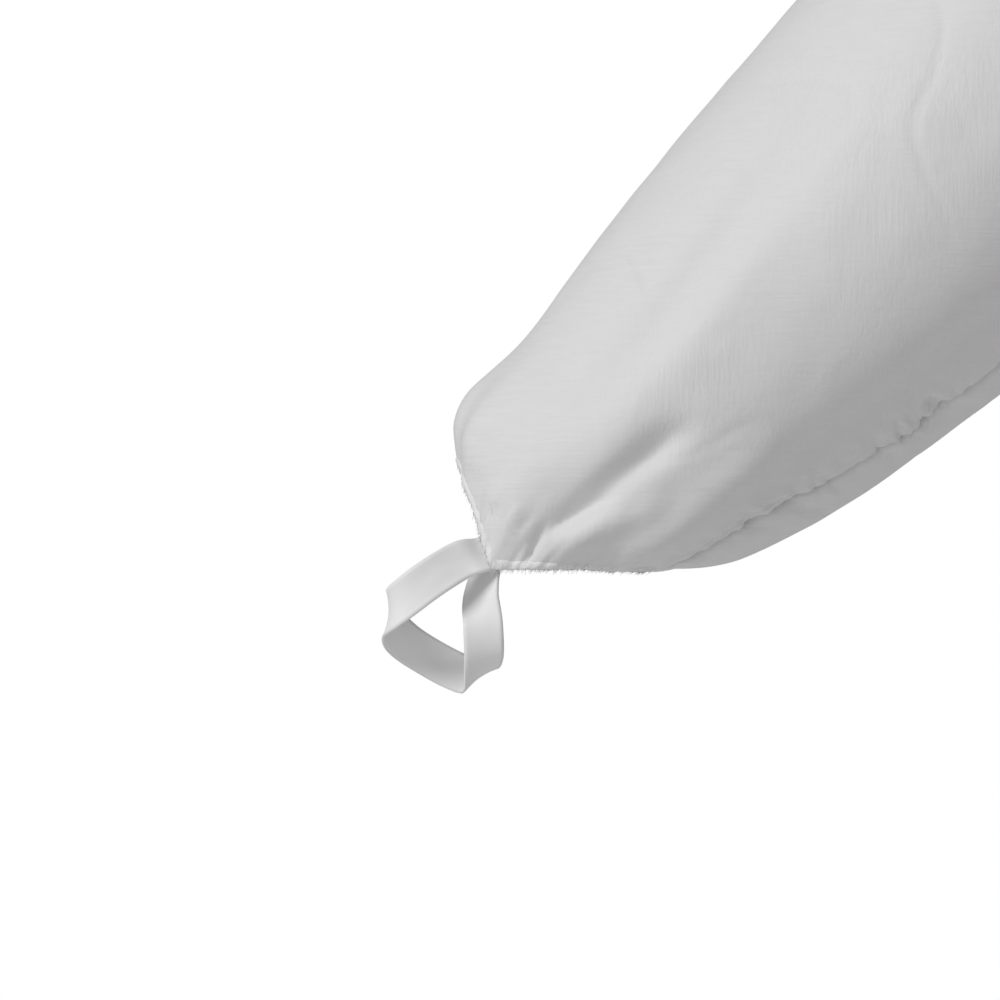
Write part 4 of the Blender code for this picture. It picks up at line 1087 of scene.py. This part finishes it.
class COVERALL_OT_sleeves(bpy.types.Operator):
    """Makes both sleeves with their underarm seams; the right one, which is seen closest, is finer"""
    bl_idname = "coverall.sleeves"
    bl_label = "Sleeves"

    def execute(self, context):
        for word, side, grid in (("right", -1, SleeveGrid(140, 52, 0.00115, 0.0046)),
                                 ("left", 1, SleeveGrid(84, 48, 0.0022, 0.0058))):
            sleeve = sleeve_piece(word, side, grid)
            give_wall(sleeve, context.scene.coverall.cloth_wall)
            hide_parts(f"sleeve_{word}")
        return {"FINISHED"}


class COVERALL_OT_hood(bpy.types.Operator):
    """Makes the hood's two halves, which meet in a seam over the crown"""
    bl_idname = "coverall.hood"
    bl_label = "Hood"

    def execute(self, context):
        sections = hood_sections()
        for word, side in SIDES:
            point = hood_point(side, HOOD_GRID_COLUMNS, sections)
            mesh = cloth_grid(HOOD_GRID_COLUMNS, len(sections) - 1, point)
            face_away(mesh, lambda p: Vector((0, 0.02, p.z)))
            half = new_piece(f"hood_{word}_cloth", mesh, CLOTH)
            give_wall(half, context.scene.coverall.cloth_wall)
            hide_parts(f"hood_{word}")
        return {"FINISHED"}


# ---- Edges


def cuff_band_point(side, columns, rows):
    """The cuff's overlocked edge: a soft roll from the rim to its upper line."""
    def point(column, row):
        section = section_at(SLEEVE_SECTIONS, CUFF_BAND_TOP * row / rows)
        angle = sleeve_angle(column / columns, CUFF_FRONT_SHARE, SEAM_AT_CUFF)
        made = sleeve_surface(angle, section)
        axis = arm_point(section.along, 0, 0)
        t = row / rows
        swell = 0.0004 * sin(pi * min(t * 0.9 + 0.1, 1)) - 0.0003 * ease(t * 3 - 2)
        swell += 0.00010 * (1 - t) * cos(column * 1.9 + row)
        return mirrored(made + (made - axis).normalized() * swell, side)
    return point


class COVERALL_OT_edges(bpy.types.Operator):
    """Makes the overlocked elastic edges of the cuffs, the face opening and the ankles"""
    bl_idname = "coverall.edges"
    bl_label = "Elastic edges"

    def execute(self, context):
        for word, side in SIDES:
            self.cuff(word, side)
            self.ankle(word, side)
            self.face(word, side)
        return {"FINISHED"}

    def cuff(self, word, side):
        columns, rows = 280, 8
        point = cuff_band_point(side, columns, rows)
        axis = mirrored(CUFF_CENTRE, side)
        mesh = cloth_grid(columns, rows, point, closed=True)
        face_away(mesh, lambda p: axis)
        band = new_piece(f"cuff_{word}_edge", mesh, THREAD)
        give_wall(band, CUFF_EDGE_WALL)
        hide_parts(f"cuff_{word}")
        threads = bmesh.new()
        pick = random.Random(11)
        settings = bpy.context.scene.coverall_stitches
        for i in range(settings.overlock_count):
            start = i * columns / settings.overlock_count
            low, high = point(start % columns, 0.3), point((start + 1.4) % columns, rows * 0.62)
            lift = ((low + high) / 2 - axis).normalized() * STITCH_LIFT
            thread(threads, low + lift * pick.uniform(0.4, 1.2), high, settings.thread_radius * 0.7)
        for _ in range(settings.fringe_count):
            column = pick.uniform(0, columns)
            low, above = point(column, 0), point(column, 3)
            aim = (low - above).normalized()
            aim += Vector([pick.uniform(-0.6, 0.6) for _ in range(3)])
            root = low.lerp(above, pick.uniform(0.0, 0.5))
            end = root + aim.normalized() * pick.uniform(*FRINGE_LENGTHS)
            thread(threads, root, end, FRINGE_RADIUS, tip=0.3, sides=3)
        new_piece(f"cuff_{word}_threads", threads, THREAD)

    def ankle(self, word, side):
        columns, rows = 240, 8
        sections = [body_row(ANKLE_TOP * row / rows) for row in range(rows + 1)]

        def point(column, row):
            made = body_point(2 * pi * column / columns, sections[row], side, 0)
            line = sections[row].section
            out = Vector((made.x - line.lobe, made.y, 0)).normalized()
            made += out * (0.0008 * sin(pi * row / rows) + 0.00015 * cos(column * 2.2 + row))
            return Vector((made.x * side, made.y, made.z))
        mesh = cloth_grid(columns, rows, point, closed=True)
        face_away(mesh, lambda p: Vector((0.15 * side, 0, p.z)))
        band = new_piece(f"ankle_{word}_edge", mesh, THREAD)
        give_wall(band, EDGE_WALL)
        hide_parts(f"ankle_edge_{word}")

    def face(self, word, side):
        columns = 6
        sections = hood_sections()
        hood = hood_point(side, HOOD_GRID_COLUMNS, sections)
        rows = [row for row, section in enumerate(sections)
                if face_edge_x(section.height) > SLOT_HALF_WIDTH + 0.002]

        def point(column, row):
            rim = hood(0, rows[row])
            rise = (rim.z - FACE_CENTRE) / FACE_HALF_HEIGHT**2
            inward = Vector((-rim.x / FACE_HALF_WIDTH**2, 0, -rise))
            t = column / columns
            made = rim + inward.normalized() * (FACE_EDGE_WIDTH * t - 0.001)
            made.y -= 0.0008 * sin(pi * t) + 0.0002 * cos(row * 2.4 + column)
            made.x = side * max(made.x * side, 0)
            return made
        mesh = cloth_grid(columns, len(rows) - 1, point)
        face_away(mesh, lambda p: Vector((0, 0.1, p.z)))
        band = new_piece(f"face_{word}_edge", mesh, THREAD)
        give_wall(band, EDGE_WALL)
        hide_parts(f"face_edge_{word}")


# ---- Thumb loops


def loop_frame(t, corner):
    """Middle, width direction and outward direction of the tape at a share of its length."""
    last = len(LOOP_POINTS) - 1
    spot, ahead = section_at(LOOP_POINTS, last * t), section_at(LOOP_POINTS, last * t + 0.05)
    travel = Vector((ahead.x - spot.x, ahead.y - spot.y, ahead.z - spot.z)).normalized()
    across = Vector((spot.across_x, spot.across_y, spot.across_z))
    across = (across - travel * across.dot(travel)).normalized()
    return corner + Vector((spot.x, spot.y, spot.z)), across, travel.cross(across)


def loop_corner():
    """The cuff's corner, where the loop is sewn in."""
    def plain(turn, place):
        return sleeve_surface(turn, section_at(SLEEVE_SECTIONS, place), detail=False)
    around = plain(CORNER_TURN + STEP, 0) - plain(CORNER_TURN - STEP, 0)
    up = plain(CORNER_TURN, STEP) - plain(CORNER_TURN, -STEP)
    return plain(CORNER_TURN, 0) - around.cross(up).normalized() * LOOP_DEPTH


class COVERALL_OT_thumb_loops(bpy.types.Operator):
    """Makes the two thumb loops of flat tape"""
    bl_idname = "coverall.thumb_loops"
    bl_label = "Thumb loops"

    def execute(self, context):
        corner = loop_corner()
        columns, rows = 10, 150
        for word, side in SIDES:
            def point(column, row):
                middle, across, out = loop_frame(row / rows, corner)
                share = 2 * column / columns - 1
                cup = 0.00035 * (share**2 - 0.4)
                ripple = 0.00010 * noise.noise(Vector((share * 2, row * 0.12, side)))
                return mirrored(middle + across * LOOP_WIDTH / 2 * share + out * (cup + ripple), side)
            mesh = cloth_grid(columns, rows, point)
            loop = new_piece(f"thumb_loop_{word}_tape", mesh, LOOP_TAPE)
            wall = give_wall(loop, LOOP_WALL)
            wall.offset = 0
            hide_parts(f"thumb_loop_{word}")
        return {"FINISHED"}


# ---- Zip


def chain_point(height):
    """The middle of the front at a height, on the cloth's outer face."""
    sections = BODY_SECTIONS if height <= BODY_SECTIONS[NECK].height else HOOD_SECTIONS
    section = section_at(sections, place_of(sections, height))
    angle = start_angle(getattr(section, "lobe", 0.0), section.half_width, SLOT_HALF_WIDTH)
    return Vector((0, -section.front * sin(angle), height))


class COVERALL_OT_zip(bpy.types.Operator):
    """Makes the zip's two rows of teeth and the stitching that holds its tapes"""
    bl_idname = "coverall.zip"
    bl_label = "Zip"

    def execute(self, context):
        settings = context.scene.coverall_stitches
        teeth = bmesh.new()
        foot = BODY_SECTIONS[ZIP_FOOT].height
        count = int((CHAIN_TOP - foot) / settings.tooth_pitch)
        for i in range(count):
            for side in (-1, 1):
                height = foot + (i + 0.25 * side + 0.5) * settings.tooth_pitch
                at = chain_point(height)
                up = (chain_point(height + 0.002) - at).normalized()
                out = Vector((1, 0, 0)).cross(up)
                turn = Matrix((Vector((1, 0, 0)), out, up)).transposed().to_4x4()
                size = Matrix.Diagonal((TOOTH_WIDTH, TOOTH_DEPTH, settings.tooth_pitch * 0.36, 1))
                place = at + Vector((side * TOOTH_X, 0, 0)) + out * TOOTH_LIFT
                bmesh.ops.create_cube(teeth, size=1, matrix=Matrix.Translation(place) @ turn @ size)
        sideways = [edge for edge in teeth.edges
                    if abs(edge.verts[0].co.x - edge.verts[1].co.x) > 0.001]
        bmesh.ops.bevel(teeth, geom=sideways, offset=TOOTH_BEVEL, offset_type="OFFSET", segments=1,
                        affect="EDGES", profile=0.5, material=-1)
        chain = new_piece("zip_teeth", teeth, NYLON, smooth=False)
        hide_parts("zip_chain")

        sewn = bmesh.new()
        length = settings.zip_stitch
        for i in range(int((CHAIN_TOP - foot) / length)):
            low, high = foot + i * length, foot + (i + ZIP_STITCH_SHARE) * length
            for x in (-ZIP_STITCH_X, ZIP_STITCH_X):
                ends = [chain_point(height) + Vector((x, 0.0006, 0)) for height in (low, high)]
                thread(sewn, *ends, settings.thread_radius)
        new_piece("zip_stitches", sewn, THREAD)
        return {"FINISHED"}


# ---- Stage


FLOOR_HEIGHT = -1.452
FLOOR_BOUNCE = (0.84, 0.84, 0.84)  # its colour for the light that it throws on the cloth
SURROUND_COLOUR = (1, 0.972, 0.988, 1)
VIEW_CENTRE = Vector((-0.6075, -0.030, -0.4955))
VIEW_DISTANCE, VIEW_LENS = 1.25, 180.0


def soft_light(name, place, aim, size, power):
    """A round soft light, turned towards what it lights."""
    data = bpy.data.lights.new(name, "AREA")
    data.shape = "DISK"
    data.size = size
    data.energy = power
    made = bpy.data.objects.new(name, data)
    made.location = place
    made.rotation_euler = (Vector(aim) - Vector(place)).to_track_quat("-Z", "Y").to_euler()
    bpy.context.scene.collection.objects.link(made)


class COVERALL_OT_stage(bpy.types.Operator):
    """Makes the pale floor, the surround, the soft lights and the camera"""
    bl_idname = "coverall.stage"
    bl_label = "Stage"

    def execute(self, context):
        settings = context.scene.coverall_stage
        scene = context.scene
        floor = bmesh.new()
        bmesh.ops.create_circle(floor, cap_ends=True, segments=96, radius=5.0,
                                matrix=Matrix.Translation((0, 0, FLOOR_HEIGHT)))
        made = linked_object("pale_floor", floor)
        paint, shader, _ = principled("pale_floor", tuple(settings.floor_colour), 0.9)
        shader.inputs["Specular IOR Level"].default_value = 0.1
        seen = add_node(paint.node_tree, "LightPath", {})
        tinted(paint, shader, seen.outputs["Is Camera Ray"], FLOOR_BOUNCE, tuple(settings.floor_colour))
        made.data.materials.append(paint)

        world = bpy.data.worlds.new("pale_surround")
        world.use_nodes = True
        nodes, links = world.node_tree.nodes, world.node_tree.links
        lit = nodes["Background"]
        lit.inputs["Color"].default_value = SURROUND_COLOUR
        lit.inputs["Strength"].default_value = settings.surround
        seen = add_node(world.node_tree, "Background", {"Color": (1, 1, 1, 1), "Strength": 1.0})
        ray = add_node(world.node_tree, "LightPath", {})
        mix = add_node(world.node_tree, "MixShader", {})
        links.new(ray.outputs["Is Camera Ray"], mix.inputs["Fac"])
        links.new(lit.outputs["Background"], mix.inputs[1])
        links.new(seen.outputs["Background"], mix.inputs[2])
        links.new(mix.outputs["Shader"], nodes["World Output"].inputs["Surface"])
        scene.world = world
        scene.view_settings.view_transform = "Standard"

        soft_light("key", (-2.70, -2.05, 1.4), (-0.55, 0, -0.45), 1.6, settings.key_power)
        soft_light("back", (1.6, 2.6, 1.6), (0, 0, -0.5), 2.2, settings.rim_power)

        lens = bpy.data.cameras.new("camera")
        lens.lens = VIEW_LENS
        lens.sensor_width = 36
        camera = bpy.data.objects.new("camera", lens)
        camera.location = VIEW_CENTRE + Vector((0, -VIEW_DISTANCE, 0))
        camera.rotation_euler = (pi / 2, 0, 0)
        scene.collection.objects.link(camera)
        scene.camera = camera
        return {"FINISHED"}


STEPS = ("finishes", "fronts_backs", "sleeves", "hood", "edges", "thumb_loops", "zip", "stage")


class COVERALL_PT_panel(bpy.types.Panel):
    """Lists the coverall's pieces in the 3D view's sidebar"""
    bl_idname = "COVERALL_PT_panel"
    bl_label = "Hooded coverall"
    bl_space_type = "VIEW_3D"
    bl_region_type = "UI"
    bl_category = "Coverall"

    def draw(self, context):
        for step in STEPS:
            self.layout.operator(f"coverall.{step}")


CLASSES = (
    CoverallSettings, StitchSettings, StageSettings, COVERALL_OT_finishes, COVERALL_OT_fronts_backs,
    COVERALL_OT_sleeves, COVERALL_OT_hood, COVERALL_OT_edges, COVERALL_OT_thumb_loops, COVERALL_OT_zip,
    COVERALL_OT_stage, COVERALL_PT_panel,
)


def register():
    for made in CLASSES:
        bpy.utils.register_class(made)
    bpy.types.Scene.coverall = PointerProperty(type=CoverallSettings)
    bpy.types.Scene.coverall_stitches = PointerProperty(type=StitchSettings)
    bpy.types.Scene.coverall_stage = PointerProperty(type=StageSettings)


def unregister():
    del bpy.types.Scene.coverall, bpy.types.Scene.coverall_stitches, bpy.types.Scene.coverall_stage
    for made in reversed(CLASSES):
        bpy.utils.unregister_class(made)


def main():
    register()
    for step in STEPS:
        getattr(bpy.ops.coverall, step)()


if __name__ == "__main__":
    main()
